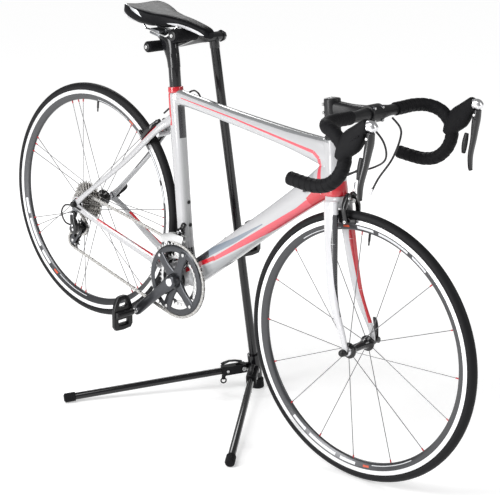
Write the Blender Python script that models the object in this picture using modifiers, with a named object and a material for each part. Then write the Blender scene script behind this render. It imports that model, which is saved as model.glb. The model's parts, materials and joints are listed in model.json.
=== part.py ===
"""Road bicycle hung by its saddle on a folding one-mast display stand.

Two frames are used, both with Y to the bicycle's left. The stand frame has its
origin on the floor under the rear hub, in the bicycle's plane. The bike frame has
its origin at the rear hub, X towards the front hub and Z square to it; it is
pitched nose-down, because the saddle hangs on one arm and the seatpost's head
leans back on another. The whole object is shifted so that its box stands centred
on the origin.
"""

import math

import bmesh
import bpy
from mathutils import Matrix, Vector

# ---------------------------------------------------------------- dimensions
GAP = 0.0003

PITCH = math.radians(12.55)
FLOOR_GAP = 0.002

WHEEL_RADIUS = 0.3355
TYRE_RADIUS = 0.0122
RIM_RADIUS = 0.3165
RIM_DEPTH = 0.026
RIM_HALF_WIDTH = 0.0103
WHEELBASE = 0.978
FRONT_HUB_HALF = 0.0497
REAR_HUB_HALF = 0.0645

BB_DROP = 0.067
CHAINSTAY = 0.407
SEAT_ANGLE = math.radians(72.9)
SEAT_TUBE = 0.514
HEAD_ANGLE = math.radians(73.0)
FORK_OFFSET = 0.045
FORK_LENGTH = 0.370
HEAD_TUBE = 0.140
STEERER_RADIUS = 0.0143
STEERER_BORE = 0.0151
SPACERS = 0.050
STEM_HEIGHT = 0.042
STEM_REACH = 0.116
STEM_RISE = 0.026
SEATPOST_RADIUS = 0.0158
SEATPOST_SHOWN = 0.136
RAIL_RADIUS = 0.0035
COLLAR_RADIUS = 0.0205
SEATPOST_INSERT = 0.075

BAR_RADIUS = 0.0158
BAR_HALF = 0.2075
BAR_CLAMP_HALF = 0.023

BB_HALF = 0.0345
AXLE_RADIUS = 0.012
CRANK = 0.170
CRANK_ANGLE = math.radians(231.3)
CRANK_INNER = 0.0585
CRANK_OUTER = 0.0725
PEDAL_OUTER = 0.148
PEDAL_NOSE_UP = math.radians(90.0)

CHAIN_PITCH = 0.0127
CHAIN_LINE = 0.045
CHAIN_HALF_WIDTH = 0.0028
CHAIN_HALF_HEIGHT = 0.0035
RING_TEETH = 50
SMALL_RING_TEETH = 34
COG_TEETH = 15
PULLEY_TEETH = 11
GUIDE_PULLEY = (0.014, -0.070)
TENSION_PULLEY = (-0.012, -0.121)

MAST_RADIUS = 0.0123
MAST_WALL = 0.0015
MAST_FOOT_Y = 0.285
MAST_FOOT_RADIUS = 0.0195
MAST_TOP_Y = 0.108
BARREL_REACH = 0.034
HUB_HEIGHT = 0.066
LEG_RADIUS = 0.0100
LEG_WALL = 0.0012
LEG_SPREAD = math.radians(35.5)
LEG_REACH = 0.545
LEG_FOOT_RADIUS = 0.0130
PIVOT_OFFSET = 0.034
BRACKET_LENGTH = 0.070
FRONT_PAD_RADIUS = 0.0175
REAR_PAD_RADIUS = 0.0148
PAD_BORE = 0.0085
PAD_INNER_Y = 0.038
PAD_OUTER_Y = -0.043
FRONT_ARM = (0.2550, 0.5668)
REAR_ARM = (0.1698, 0.5110)

ROUND = 60
COARSE = 20


# ---------------------------------------------------------------- derived places
def pitch_radius(teeth):
    return CHAIN_PITCH / (2 * math.sin(math.pi / teeth))


def to_stand(x, z):
    """A point of the bike frame's XZ plane, in the stand frame."""
    sine, cosine = math.sin(PITCH), math.cos(PITCH)
    return x * cosine + z * sine, z * cosine - x * sine + REAR_HUB_HEIGHT


REAR_HUB_HEIGHT = WHEEL_RADIUS + FLOOR_GAP + WHEELBASE * math.sin(PITCH)
CENTRE_X = WHEELBASE * math.cos(PITCH) / 2
CENTRE_Y = (MAST_FOOT_Y + MAST_FOOT_RADIUS - BAR_HALF - BAR_RADIUS) / 2

BB = Vector((math.sqrt(CHAINSTAY**2 - BB_DROP**2), 0, -BB_DROP))
SEAT_UP = Vector((-math.cos(SEAT_ANGLE), 0, math.sin(SEAT_ANGLE)))
SEAT_TOP = BB + SEAT_UP * SEAT_TUBE
STEER_UP = Vector((-math.cos(HEAD_ANGLE), 0, math.sin(HEAD_ANGLE)))
STEER_AHEAD = Vector((math.sin(HEAD_ANGLE), 0, math.cos(HEAD_ANGLE)))
FRONT_HUB = Vector((WHEELBASE, 0, 0))
FORK_RISE = math.sqrt(FORK_LENGTH**2 - FORK_OFFSET**2)
CROWN = FRONT_HUB - STEER_AHEAD * FORK_OFFSET + STEER_UP * FORK_RISE
HEAD_TOP = CROWN + STEER_UP * HEAD_TUBE
STEM_BASE = HEAD_TOP + STEER_UP * SPACERS
STEM_CENTRE = STEM_BASE + STEER_UP * STEM_HEIGHT / 2
BAR = STEM_CENTRE + Vector((STEM_REACH, 0, STEM_RISE))
CRANK_OUT = Vector((math.cos(CRANK_ANGLE), 0, math.sin(CRANK_ANGLE)))

MAST_X, FRONT_ARM_Z = to_stand(*FRONT_ARM)
REAR_ARM_X, REAR_ARM_Z = to_stand(*REAR_ARM)
CROSS_BAR_Z = FRONT_ARM_Z - 0.014
MAST_FOOT = Vector((MAST_X, MAST_FOOT_Y, 0))
MAST_TOP = Vector((MAST_X, MAST_TOP_Y, CROSS_BAR_Z))
MAST_UP = (MAST_TOP - MAST_FOOT).normalized()
HUB_CENTRE = MAST_FOOT + MAST_UP * (HUB_HEIGHT / MAST_UP.z)


# ---------------------------------------------------------------- scene helpers
def clear_scene():
    for item in list(bpy.data.objects):
        bpy.data.objects.remove(item, do_unlink=True)


def new_collection(name):
    made = bpy.data.collections.new(name)
    bpy.context.scene.collection.children.link(made)
    return made


def empty(name, location, pitch=0.0):
    made = bpy.data.objects.new(name, None)
    made.location = location
    made.rotation_euler = (0, pitch, 0)
    PARTS.objects.link(made)
    return made


def paint(name, colour, roughness, metallic=0.0):
    made = bpy.data.materials.new(name)
    made.use_nodes = True
    shader = made.node_tree.nodes["Principled BSDF"]
    shader.inputs["Base Color"].default_value = (*colour, 1)
    shader.inputs["Roughness"].default_value = roughness
    shader.inputs["Metallic"].default_value = metallic
    return made


def add(name, data, group=None):
    made = bpy.data.objects.new(name, data)
    (group or PARTS).objects.link(made)
    return made


def finish(item, parent, material, pivot=(0, 0, 0)):
    """Puts an object's origin on its pivot, under its frame's empty."""
    pivot = Vector(pivot)
    item.data.transform(Matrix.Translation(-pivot))
    item.location = pivot
    item.parent = parent
    item.data.materials.clear()
    item.data.materials.append(material)
    if item.type == "MESH" and len(item.data.polygons):
        item.data.shade_smooth()
        item.data.set_sharp_from_angle(angle=math.radians(35))
    return item


def as_cutter(item, parent):
    """Moves an object to the cutters, in the frame that the part uses."""
    for owner in list(item.users_collection):
        owner.objects.unlink(item)
    CUTTERS.objects.link(item)
    item.parent = parent
    item.hide_render = True
    item.display_type = "WIRE"
    return item


def boolean(item, others, operation, parent):
    for other in others:
        as_cutter(other, parent)
        step = item.modifiers.new(operation.lower(), "BOOLEAN")
        step.operation = operation
        step.object = other
        step.solver = "EXACT"
    return item


def union(item, others, parent):
    return boolean(item, others, "UNION", parent)


def cut(item, others, parent):
    return boolean(item, others, "DIFFERENCE", parent)


# ---------------------------------------------------------------- shapes
def frame_along(start, end):
    """A matrix at start whose Z runs to end."""
    turn = (end - start).to_track_quat("Z", "Y").to_matrix().to_4x4()
    return Matrix.Translation(start) @ turn


def rod(name, start, end, radius, radius_end=None, sides=COARSE):
    """A solid round bar, or cone, between two points."""
    start, end = Vector(start), Vector(end)
    mesh = bmesh.new()
    length = (end - start).length
    bmesh.ops.create_cone(
        mesh,
        cap_ends=True,
        segments=sides,
        radius1=radius,
        radius2=radius if radius_end is None else radius_end,
        depth=length,
        matrix=frame_along(start, end) @ Matrix.Translation((0, 0, length / 2)),
    )
    data = bpy.data.meshes.new(name)
    mesh.to_mesh(data)
    mesh.free()
    return add(name, data)


def block(name, centre, size, turn=None):
    """A box of the given full sizes, turned by a 3x3 matrix."""
    mesh = bmesh.new()
    bmesh.ops.create_cube(mesh, size=1)
    turn = Matrix.Identity(3) if turn is None else turn
    shape = Matrix.Translation(centre) @ turn.to_4x4() @ Matrix.Diagonal((*size, 1))
    bmesh.ops.transform(mesh, matrix=shape, verts=mesh.verts)
    data = bpy.data.meshes.new(name)
    mesh.to_mesh(data)
    mesh.free()
    return add(name, data)


def turned(name, profile, centre, axis, steps=ROUND):
    """A turned piece: (radius, height) points, closed where none lies on the axis."""
    ring = all(radius > 0 for radius, _ in profile)
    points = list(profile)
    if ring:
        turns = zip(points, points[1:] + points[:1])
        if sum(a[0] * b[1] - b[0] * a[1] for a, b in turns) > 0:
            points.reverse()
    elif points[0][1] < points[-1][1]:
        points.reverse()
    data = bpy.data.meshes.new(name)
    edges = [(i, i + 1) for i in range(len(points) - 1)]
    if ring:
        edges.append((len(points) - 1, 0))
    data.from_pydata([(radius, 0, height) for radius, height in points], edges, [])
    item = add(name, data)
    screw = item.modifiers.new("turn", "SCREW")
    screw.steps = screw.render_steps = steps
    screw.use_merge_vertices = True
    screw.merge_threshold = 0.00001
    centre, axis = Vector(centre), Vector(axis)
    item["place"] = [list(row) for row in frame_along(centre, centre + axis)]
    return item


def settle(item):
    """Makes a turned or curved piece a mesh, in its frame, with its caps welded."""
    bpy.context.view_layer.update()
    graph = bpy.context.evaluated_depsgraph_get()
    data = bpy.data.meshes.new_from_object(item.evaluated_get(graph))
    place = Matrix(item["place"]) if "place" in item else item.matrix_world.copy()
    name = item.name
    bpy.data.objects.remove(item, do_unlink=True)
    mesh = bmesh.new()
    mesh.from_mesh(data)
    bmesh.ops.remove_doubles(mesh, verts=mesh.verts, dist=0.000001)
    bmesh.ops.transform(mesh, matrix=place, verts=mesh.verts)
    mesh.to_mesh(data)
    mesh.free()
    return add(name, data)


def ring(name, profile, centre, axis, steps=ROUND):
    return settle(turned(name, profile, centre, axis, steps))


def tube(name, start, end, radius, wall, sides=COARSE):
    """A hollow straight tube with open ends."""
    start, end = Vector(start), Vector(end)
    length = (end - start).length
    inner = radius - wall
    profile = [(radius, 0), (inner, 0), (inner, length), (radius, length)]
    return ring(name, profile, start, end - start, sides)


def smooth_path(points, per_span, closed=False):
    """Points along a Catmull-Rom curve through the given points."""
    points = [Vector(p) for p in points]
    count = len(points)
    path = []
    for i in range(count if closed else count - 1):
        if closed:
            a, b, c, d = (points[(i + k - 1) % count] for k in range(4))
        else:
            a, b = points[max(i - 1, 0)], points[i]
            c, d = points[i + 1], points[min(i + 2, count - 1)]
        for step in range(per_span):
            t = step / per_span
            path.append(
                0.5
                * (2 * b + (c - a) * t + (2 * a - 5 * b + 4 * c - d) * t**2
                   + (3 * b - a - 3 * c + d) * t**3)
            )
    return path if closed else path + [points[-1]]


def wire(name, points, radius, per_span=3, resolution=2):
    """A solid round bar along a smooth path."""
    data = bpy.data.curves.new(name, "CURVE")
    data.dimensions = "3D"
    data.bevel_depth = radius
    data.bevel_resolution = resolution
    data.use_fill_caps = True
    data.resolution_u = 1
    data.render_resolution_u = 0
    path = smooth_path(points, per_span)
    spline = data.splines.new("POLY")
    spline.points.add(len(path) - 1)
    for place, point in zip(spline.points, path):
        place.co = (*point, 1)
    return settle(add(name, data))


def plate(name, outlines, inner_y, outer_y):
    """A flat plate in the XZ plane, from closed (x, z) outlines; later ones are holes."""
    data = bpy.data.curves.new(name, "CURVE")
    data.dimensions = "2D"
    data.fill_mode = "BOTH"
    data.extrude = abs(outer_y - inner_y) / 2
    data.resolution_u = 1
    data.render_resolution_u = 0
    for outline in outlines:
        spline = data.splines.new("POLY")
        spline.points.add(len(outline) - 1)
        spline.use_cyclic_u = True
        for place, (x, z) in zip(spline.points, outline):
            place.co = (x, z, 0, 1)
    item = add(name, data)
    item.matrix_world = Matrix.Translation((0, (inner_y + outer_y) / 2, 0)) @ Matrix.Rotation(
        math.pi / 2, 4, "X"
    )
    return settle(item)


def circle(centre, radius, sides=COARSE):
    return [
        (
            centre[0] + radius * math.cos(2 * math.pi * i / sides),
            centre[1] + radius * math.sin(2 * math.pi * i / sides),
        )
        for i in range(sides)
    ]


def loft(name, stations, side=(0, 1, 0), sides=16, power=2.4, heading=None):
    """A tube of changing section. A station is x, y, z, half depth, half width; the
    width lies along side, the depth square to it and to the tube or the heading."""
    places = [Vector(s[:3]) for s in stations]
    mesh = bmesh.new()
    rings = []
    for i, station in enumerate(stations):
        ahead = places[min(i + 1, len(places) - 1)] - places[max(i - 1, 0)]
        ahead = Vector(heading) if heading else ahead.normalized()
        across = Vector(side) - ahead * ahead.dot(Vector(side))
        across.normalize()
        deep = ahead.cross(across)
        loop = []
        for k in range(sides):
            angle = 2 * math.pi * (k + 0.5) / sides
            c, s = math.cos(angle), math.sin(angle)
            u = math.copysign(abs(c) ** (2 / power), c) * station[3]
            v = math.copysign(abs(s) ** (2 / power), s) * station[4]
            loop.append(mesh.verts.new(places[i] + deep * u + across * v))
        rings.append(loop)
    for lower, upper in zip(rings, rings[1:]):
        for k in range(sides):
            nearer = (k + 1) % sides
            mesh.faces.new((lower[k], lower[nearer], upper[nearer], upper[k]))
    mesh.faces.new(rings[0][::-1])
    mesh.faces.new(rings[-1])
    bmesh.ops.recalc_face_normals(mesh, faces=mesh.faces)
    data = bpy.data.meshes.new(name)
    mesh.to_mesh(data)
    mesh.free()
    return add(name, data)


def along(start, direction, distance, *sizes):
    """A loft station at a distance from a point."""
    place = Vector(start) + Vector(direction) * distance
    return (*place, *sizes)


def chain_loop(wheels, offset, arc_step=math.radians(12)):
    """The closed line that runs round (centre, radius, turn) wheels in order, moved
    outwards by offset. A turn of 1 is anticlockwise with X right and Z up."""
    sized = [(Vector(c), r + turn * offset, turn) for c, r, turn in wheels]
    leaves, meets = [], []
    for i, (here, near, turn) in enumerate(sized):
        there, far, next_turn = sized[(i + 1) % len(sized)]
        span = there - here
        angle = math.atan2(span.y, span.x) - math.asin(
            (next_turn * far - turn * near) / span.length
        )
        left = Vector((-math.sin(angle), math.cos(angle)))
        leaves.append(here - left * turn * near)
        meets.append(there - left * next_turn * far)
    line = []
    for i, (centre, radius, turn) in enumerate(sized):
        first = meets[i - 1] - centre
        last = leaves[i] - centre
        start = math.atan2(first.y, first.x)
        sweep = (math.atan2(last.y, last.x) - start) * turn % (2 * math.pi)
        count = max(2, math.ceil(sweep / arc_step))
        for k in range(count + 1):
            angle = start + turn * sweep * k / count
            line.append((centre.x + radius * math.cos(angle), centre.y + radius * math.sin(angle)))
    return line


# ---------------------------------------------------------------- stand
def make_mast():
    foot_top = 0.028
    socket = 0.010
    neck = 0.030
    base = MAST_FOOT + MAST_UP * (socket + GAP)
    top = MAST_TOP - MAST_UP * neck
    finish(tube("mast_tube", base, top, MAST_RADIUS, MAST_WALL), STAND, BLACK, MAST_FOOT)

    rim = MAST_FOOT_RADIUS - 0.002
    foot = ring(
        "mast_foot",
        [(0, 0), (rim, 0), (MAST_FOOT_RADIUS, 0.003), (rim, foot_top), (0, foot_top)],
        MAST_FOOT,
        (0, 0, 1),
        COARSE,
    )
    bore = rod("foot_bore", MAST_FOOT + MAST_UP * socket, MAST_TOP, MAST_RADIUS + GAP)
    finish(cut(foot, [bore], STAND), STAND, RUBBER, MAST_FOOT)

    head = rod("mast_head", top + MAST_UP * GAP, MAST_TOP, 0.0135)
    barrel = rod(
        "head_barrel",
        (MAST_X, MAST_TOP_Y + 0.034, CROSS_BAR_Z),
        (MAST_X, MAST_TOP_Y - BARREL_REACH, CROSS_BAR_Z),
        0.0130,
    )
    cap = rod(
        "head_cap",
        (MAST_X, MAST_TOP_Y + 0.026, CROSS_BAR_Z),
        (MAST_X, MAST_TOP_Y + 0.040, CROSS_BAR_Z),
        0.0165,
        0.0110,
        8,
    )
    finish(union(head, [barrel, cap], STAND), STAND, BLACK)


def make_support():
    """The fork that holds the two padded arms, and the pads on them."""
    start_y = MAST_TOP_Y - BARREL_REACH - GAP
    end_y = PAD_INNER_Y + GAP
    middle_x = (MAST_X + REAR_ARM_X) / 2
    middle_z = (FRONT_ARM_Z + REAR_ARM_Z) / 2
    slope = Vector((MAST_X - REAR_ARM_X, 0, FRONT_ARM_Z - REAR_ARM_Z))
    half = slope.length / 2

    def station(share, depth, width):
        """A section part of the way from the barrel's end to the arms."""
        y = start_y + (end_y - start_y) * share
        x = MAST_X + (middle_x - MAST_X) * min(1, share * 1.4)
        z = CROSS_BAR_Z + (middle_z - CROSS_BAR_Z) * min(1, share * 1.4)
        return x, y, z, depth, width

    body = loft(
        "support_fork",
        [
            station(0.00, 0.0120, 0.0125),
            station(0.15, 0.0125, 0.0160),
            station(0.45, 0.0140, half * 0.78),
            station(0.75, 0.0150, half + 0.0100),
            station(1.00, 0.0145, half + 0.0140),
        ],
        side=slope.normalized(),
        heading=(0, -1, 0),
    )
    extras = []
    for name, x, z, pad_radius in (
        ("front", MAST_X, FRONT_ARM_Z, FRONT_PAD_RADIUS),
        ("rear", REAR_ARM_X, REAR_ARM_Z, REAR_PAD_RADIUS),
    ):
        tip = PAD_OUTER_Y - GAP
        half_plug = pad_radius * 0.72
        profile = [
            (0, PAD_INNER_Y + 0.012),
            (PAD_BORE - GAP, PAD_INNER_Y + 0.012),
            (PAD_BORE - GAP, tip),
            (half_plug, tip),
            (half_plug, tip - 0.004),
            (0, tip - 0.004),
        ]
        extras.append(ring(name + "_arm", profile, (x, 0, z), (0, 1, 0), 18))
        pad = tube(
            name + "_pad",
            (x, PAD_INNER_Y, z),
            (x, PAD_OUTER_Y, z),
            pad_radius,
            pad_radius - PAD_BORE,
            24,
        )
        finish(pad, STAND, FOAM)
    finish(union(body, extras, STAND), STAND, BLACK)


def leg_frame(turn):
    """The outward direction and the hinge axis of a leg; turn is 1 towards the front."""
    out = Vector((turn * math.sin(LEG_SPREAD), -math.cos(LEG_SPREAD), 0))
    hinge = Vector((0, 0, 1)).cross(out)
    return out, hinge


def make_leg_hub():
    bottom = HUB_CENTRE - MAST_UP * 0.030
    top = HUB_CENTRE + MAST_UP * 0.040
    collar = rod("leg_hub", bottom, top, 0.0185)
    ears = []
    for turn in (-1, 1):
        out, hinge = leg_frame(turn)
        basis = Matrix((out, hinge, Vector((0, 0, 1)))).transposed()
        ears.append(
            block("ear", HUB_CENTRE + out * PIVOT_OFFSET * 0.62, (0.046, 0.011, 0.026), basis)
        )
    union(collar, ears, STAND)
    bore = rod("mast_bore", MAST_FOOT - MAST_UP * 0.01, MAST_TOP, MAST_RADIUS + GAP)
    finish(cut(collar, [bore], STAND), STAND, BLACK, HUB_CENTRE)


def make_leg(name, turn):
    """One folding leg: channel bracket, tube, rubber foot and spring latch."""
    out, hinge = leg_frame(turn)
    up = Vector((0, 0, 1))
    pivot = HUB_CENTRE + out * PIVOT_OFFSET
    foot = pivot + out * (LEG_REACH - PIVOT_OFFSET)
    foot.z = LEG_FOOT_RADIUS + 0.0008
    run = (foot - pivot).normalized()
    deep = run.cross(hinge)
    basis = Matrix((run, hinge, deep)).transposed()

    bracket = block(
        name + "_bracket", pivot + run * (BRACKET_LENGTH / 2 - 0.006), (BRACKET_LENGTH, 0.028, 0.024), basis
    )
    channel = block("channel", pivot + run * -0.004, (0.052, 0.0118, 0.040), basis)
    channel.location = (0, 0, 0)
    socket = rod("socket", pivot + run * 0.020, pivot + run * 0.090, LEG_RADIUS + GAP)
    hook = loft(
        "hook",
        [
            along(pivot - deep * -0.004, run, BRACKET_LENGTH - 0.018, 0.006, 0.006),
            along(pivot - deep * 0.016, run, BRACKET_LENGTH - 0.010, 0.006, 0.005),
            along(pivot - deep * 0.026, run, BRACKET_LENGTH - 0.008, 0.005, 0.004),
        ],
        side=hinge,
    )
    union(bracket, [hook], STAND)
    finish(cut(bracket, [channel, socket], STAND), STAND, PLASTIC, pivot)

    start = pivot + run * 0.024
    leg = tube(name + "_tube", start, foot, LEG_RADIUS, LEG_WALL, 16)
    finish(leg, STAND, BLACK, pivot)

    bore = LEG_RADIUS + GAP
    profile = [
        (0, 0.007),
        (0.0085, 0.007),
        (LEG_FOOT_RADIUS, 0.003),
        (LEG_FOOT_RADIUS, -0.026),
        (bore, -0.026),
        (bore, GAP),
        (0, GAP),
    ]
    finish(ring(name + "_foot", profile, foot, run, 16), STAND, RUBBER, pivot)

    perch = pivot + deep * 0.0185 + run * 0.004
    latch = loft(
        name + "_latch",
        [
            along(perch, run, 0.000, 0.0035, 0.006),
            along(perch + deep * 0.006, run, 0.018, 0.0025, 0.006),
            along(perch + deep * 0.008, run, 0.036, 0.0025, 0.006),
            along(perch + deep * 0.004, run, 0.052, 0.0040, 0.0055),
            along(perch + deep * 0.001, run, 0.060, 0.0035, 0.0050),
        ],
        side=hinge,
    )
    finish(latch, STAND, PLASTIC, perch)
    return pivot, hinge, perch


# ---------------------------------------------------------------- wheels
def make_wheel(name, hub, hub_profile):
    """Tyre, rim and hub, all turned about the axle. The spokes are wires of 2 mm."""
    seat = RIM_RADIUS + GAP
    centre = WHEEL_RADIUS - TYRE_RADIUS
    reach = math.acos((seat - centre) / TYRE_RADIUS)
    tread = [-reach + 2 * reach * i / 10 for i in range(11)]
    tyre = [(centre + TYRE_RADIUS * math.cos(a), TYRE_RADIUS * math.sin(a)) for a in tread]
    finish(ring(name + "_tyre", tyre, hub, (0, 1, 0)), BIKE, RUBBER, hub)

    inner = RIM_RADIUS - RIM_DEPTH
    half = RIM_HALF_WIDTH
    track = RIM_RADIUS - 0.010
    rim = [
        (RIM_RADIUS, -half),
        (RIM_RADIUS, half),
        (track, half),
        (inner, half * 0.45),
        (inner, -half * 0.45),
        (track, -half),
    ]
    finish(ring(name + "_rim", rim, hub, (0, 1, 0)), BIKE, ALUMINIUM, hub)
    finish(ring(name + "_hub", hub_profile, hub, (0, 1, 0), 24), BIKE, BLACK, hub)


def make_wheels():
    front = [
        (0, FRONT_HUB_HALF),
        (0.009, FRONT_HUB_HALF),
        (0.010, 0.040),
        (0.018, 0.038),
        (0.019, 0.034),
        (0.012, 0.028),
        (0.010, 0),
    ]
    mirrored = [(radius, -height) for radius, height in reversed(front[:-1])]
    make_wheel("front", FRONT_HUB, front + mirrored)
    rear = [
        (0, REAR_HUB_HALF),
        (0.009, REAR_HUB_HALF),
        (0.011, 0.042),
        (0.024, 0.038),
        (0.025, 0.033),
        (0.016, 0.022),
        (0.018, -0.012),
        (0.029, -0.016),
        (0.029, -0.0195),
        (0.0165, -0.0205),
        (0.0165, -0.0620),
        (0.009, -0.0620),
        (0.009, -REAR_HUB_HALF),
        (0, -REAR_HUB_HALF),
    ]
    make_wheel("rear", Vector((0, 0, 0)), rear)


def quick_release(name, hub, side_y, direction):
    """A quick-release lever on the left end of an axle, closed."""
    pivot = Vector((hub.x, side_y + 0.0127, hub.z))
    across = Vector(direction).cross(Vector((0, 1, 0)))
    lever = loft(
        name,
        [
            along(pivot, direction, -0.008, 0.0070, 0.0080),
            along(pivot, direction, 0.008, 0.0065, 0.0075),
            along(pivot + Vector((0, 0.004, 0)), direction, 0.024, 0.0030, 0.0065),
            along(pivot + Vector((0, 0.003, 0)), direction, 0.046, 0.0025, 0.0060),
            along(pivot + Vector((0, -0.001, 0)), direction, 0.056, 0.0022, 0.0045),
        ],
        side=across,
    )
    finish(lever, BIKE, BLACK, pivot)
    return pivot, across


# ---------------------------------------------------------------- frame
def head_outline(extra=0.0):
    return [
        (0.0285 + extra, GAP),
        (0.0280 + extra, HEAD_TUBE * 0.12),
        (0.0250 + extra, HEAD_TUBE * 0.35),
        (0.0230 + extra, HEAD_TUBE * 0.70),
        (0.0232 + extra, HEAD_TUBE - 0.002),
    ]


def head_room(name):
    """A cutter that leaves a gap round the head tube and everything turning in it."""
    profile = [
        (0, -0.060),
        (0.050, -0.060),
        (0.050, 0),
        *head_outline(GAP),
        (0.0232 + GAP, HEAD_TUBE + 0.03),
        (0, HEAD_TUBE + 0.03),
    ]
    return ring(name, profile, CROWN, STEER_UP, 28)


def seat_tube_shape(name, extra=0.0):
    stations = [
        (-0.012, 0.0230, 0.0300),
        (0.040, 0.0200, 0.0250),
        (0.120, 0.0195, 0.0195),
        (SEAT_TUBE * 0.62, 0.0210, 0.0185),
        (SEAT_TUBE - 0.040, 0.0205, 0.0190),
        (SEAT_TUBE - 0.016, 0.0190, 0.0190),
    ]
    return loft(
        name,
        [along(BB, SEAT_UP, s, deep + extra, wide + extra) for s, deep, wide in stations],
        heading=SEAT_UP,
    )


def shell_shape(name, extra=0.0):
    half = BB_HALF + extra
    return rod(name, (BB.x, -half, BB.z), (BB.x, half, BB.z), 0.0240 + extra, sides=28)


def seat_room(name):
    """Cutters that leave a gap round the seat tube, its collar and the bottom bracket."""
    low, high = SEAT_TOP - SEAT_UP * 0.030, SEAT_TOP + SEAT_UP * 0.050
    return [
        seat_tube_shape(name + "_tube", GAP),
        rod(name + "_collar", low, high, COLLAR_RADIUS + 2 * GAP, sides=28),
        shell_shape(name + "_shell", GAP),
    ]


def top_tube_shape(name, extra=0.0):
    rear = SEAT_TOP - SEAT_UP * 0.022
    front = HEAD_TOP - STEER_UP * 0.040
    level = (front - rear).normalized()
    span = (front - rear).length
    stations = []
    for distance, drop, deep, wide in (
        (0.002, 0, 0.0200, 0.0150),
        (0.060, 0, 0.0175, 0.0165),
        (span * 0.40, 0, 0.0180, 0.0190),
        (span * 0.72, 0, 0.0235, 0.0205),
        (span - 0.050, 0.002, 0.0310, 0.0210),
        (span - 0.004, 0.004, 0.0370, 0.0205),
    ):
        place = rear - Vector((0, 0, drop))
        stations.append(along(place, level, distance, deep + extra, wide + extra))
    return loft(name, stations, power=2.8)


def make_front_triangle():
    head = [(STEERER_BORE, GAP), *head_outline(), (STEERER_BORE, HEAD_TUBE - 0.002)]
    finish(ring("head_tube", head, CROWN, STEER_UP, 28), BIKE, WHITE)

    top = top_tube_shape("top_tube")
    cut(top, [head_room("top_head_room"), *seat_room("top_seat_room")], BIKE)
    finish(top, BIKE, WHITE)

    low = BB + Vector((0.010, 0, 0.004))
    high = CROWN + STEER_UP * 0.050
    climb = (high - low).normalized()
    reach = (high - low).length
    down = loft(
        "down_tube",
        [
            along(low, climb, 0.0050, 0.0290, 0.0290),
            along(low, climb, 0.0450, 0.0310, 0.0290),
            along(low, climb, reach * 0.25, 0.0310, 0.0270),
            along(low, climb, reach * 0.60, 0.0300, 0.0250),
            along(low, climb, reach * 0.85, 0.0345, 0.0240),
            along(low, climb, reach - 0.0060, 0.0420, 0.0220),
        ],
        power=3.0,
    )
    room = [head_room("down_head_room"), *seat_room("down_seat_room")]
    cut(down, [*room, top_tube_shape("down_top_room", GAP)], BIKE)
    finish(down, BIKE, WHITE)

    seat = seat_tube_shape("seat_tube")
    union(seat, [shell_shape("bottom_bracket")], BIKE)
    post_bore = rod(
        "post_bore",
        SEAT_TOP - SEAT_UP * (SEATPOST_INSERT + 0.004),
        SEAT_TOP + SEAT_UP * 0.02,
        SEATPOST_RADIUS + GAP,
    )
    axle_bore = rod("axle_bore", (BB.x, -0.06, BB.z), (BB.x, 0.06, BB.z), AXLE_RADIUS + 2 * GAP)
    cut(seat, [post_bore, axle_bore], BIKE)
    finish(seat, BIKE, WHITE)

    collar = ring(
        "seat_collar",
        [
            (SEATPOST_RADIUS + GAP, 0),
            (COLLAR_RADIUS - 0.0005, 0),
            (COLLAR_RADIUS, 0.003),
            (COLLAR_RADIUS - 0.0010, 0.0155),
            (SEATPOST_RADIUS + GAP, 0.0155),
        ],
        SEAT_TOP - SEAT_UP * (0.016 - GAP),
        SEAT_UP,
        28,
    )
    finish(collar, BIKE, RED)


def make_stays(name, side):
    """One side's seat stay, chain stay and dropout; side is -1 on the drive side."""
    dropout = Vector((0, side * 0.0695, 0))
    stay_top = SEAT_TOP - SEAT_UP * 0.094
    upper = loft(
        name,
        [
            (stay_top.x - 0.0060, side * 0.0110, stay_top.z + 0.010, 0.0120, 0.0065),
            (stay_top.x - 0.0260, side * 0.0130, stay_top.z - 0.008, 0.0115, 0.0065),
            (stay_top.x - 0.060, side * 0.0240, stay_top.z - 0.050, 0.0090, 0.0060),
            (stay_top.x - 0.135, side * 0.0410, stay_top.z - 0.158, 0.0075, 0.0050),
            (0.040, side * 0.0650, 0.050, 0.0070, 0.0045),
            (0.004, dropout.y, 0.006, 0.0100, 0.0040),
        ],
        sides=12,
    )
    chain = loft(
        "chain_stay",
        [
            (BB.x - 0.0150, side * 0.0240, BB.z + 0.003, 0.0150, 0.0085),
            (BB.x - 0.075, side * 0.0265, BB.z + 0.008, 0.0130, 0.0070),
            (BB.x * 0.50, side * 0.0420, BB.z * 0.62, 0.0110, 0.0060),
            (0.060, side * 0.0660, -0.014, 0.0090, 0.0045),
            (0.000, dropout.y, -0.003, 0.0100, 0.0040),
        ],
        sides=12,
    )
    extras = [chain]
    if side < 0:
        hanger = [
            (0.010, 0.006),
            (-0.010, 0.004),
            (-0.009, -0.014),
            (-0.001, -0.030),
            (0.011, -0.030),
            (0.012, -0.012),
        ]
        extras.append(plate("hanger", [hanger], side * 0.0662, side * 0.0728))
    union(upper, extras, BIKE)
    cut(upper, seat_room(name + "_room"), BIKE)
    finish(upper, BIKE, WHITE)


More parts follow.
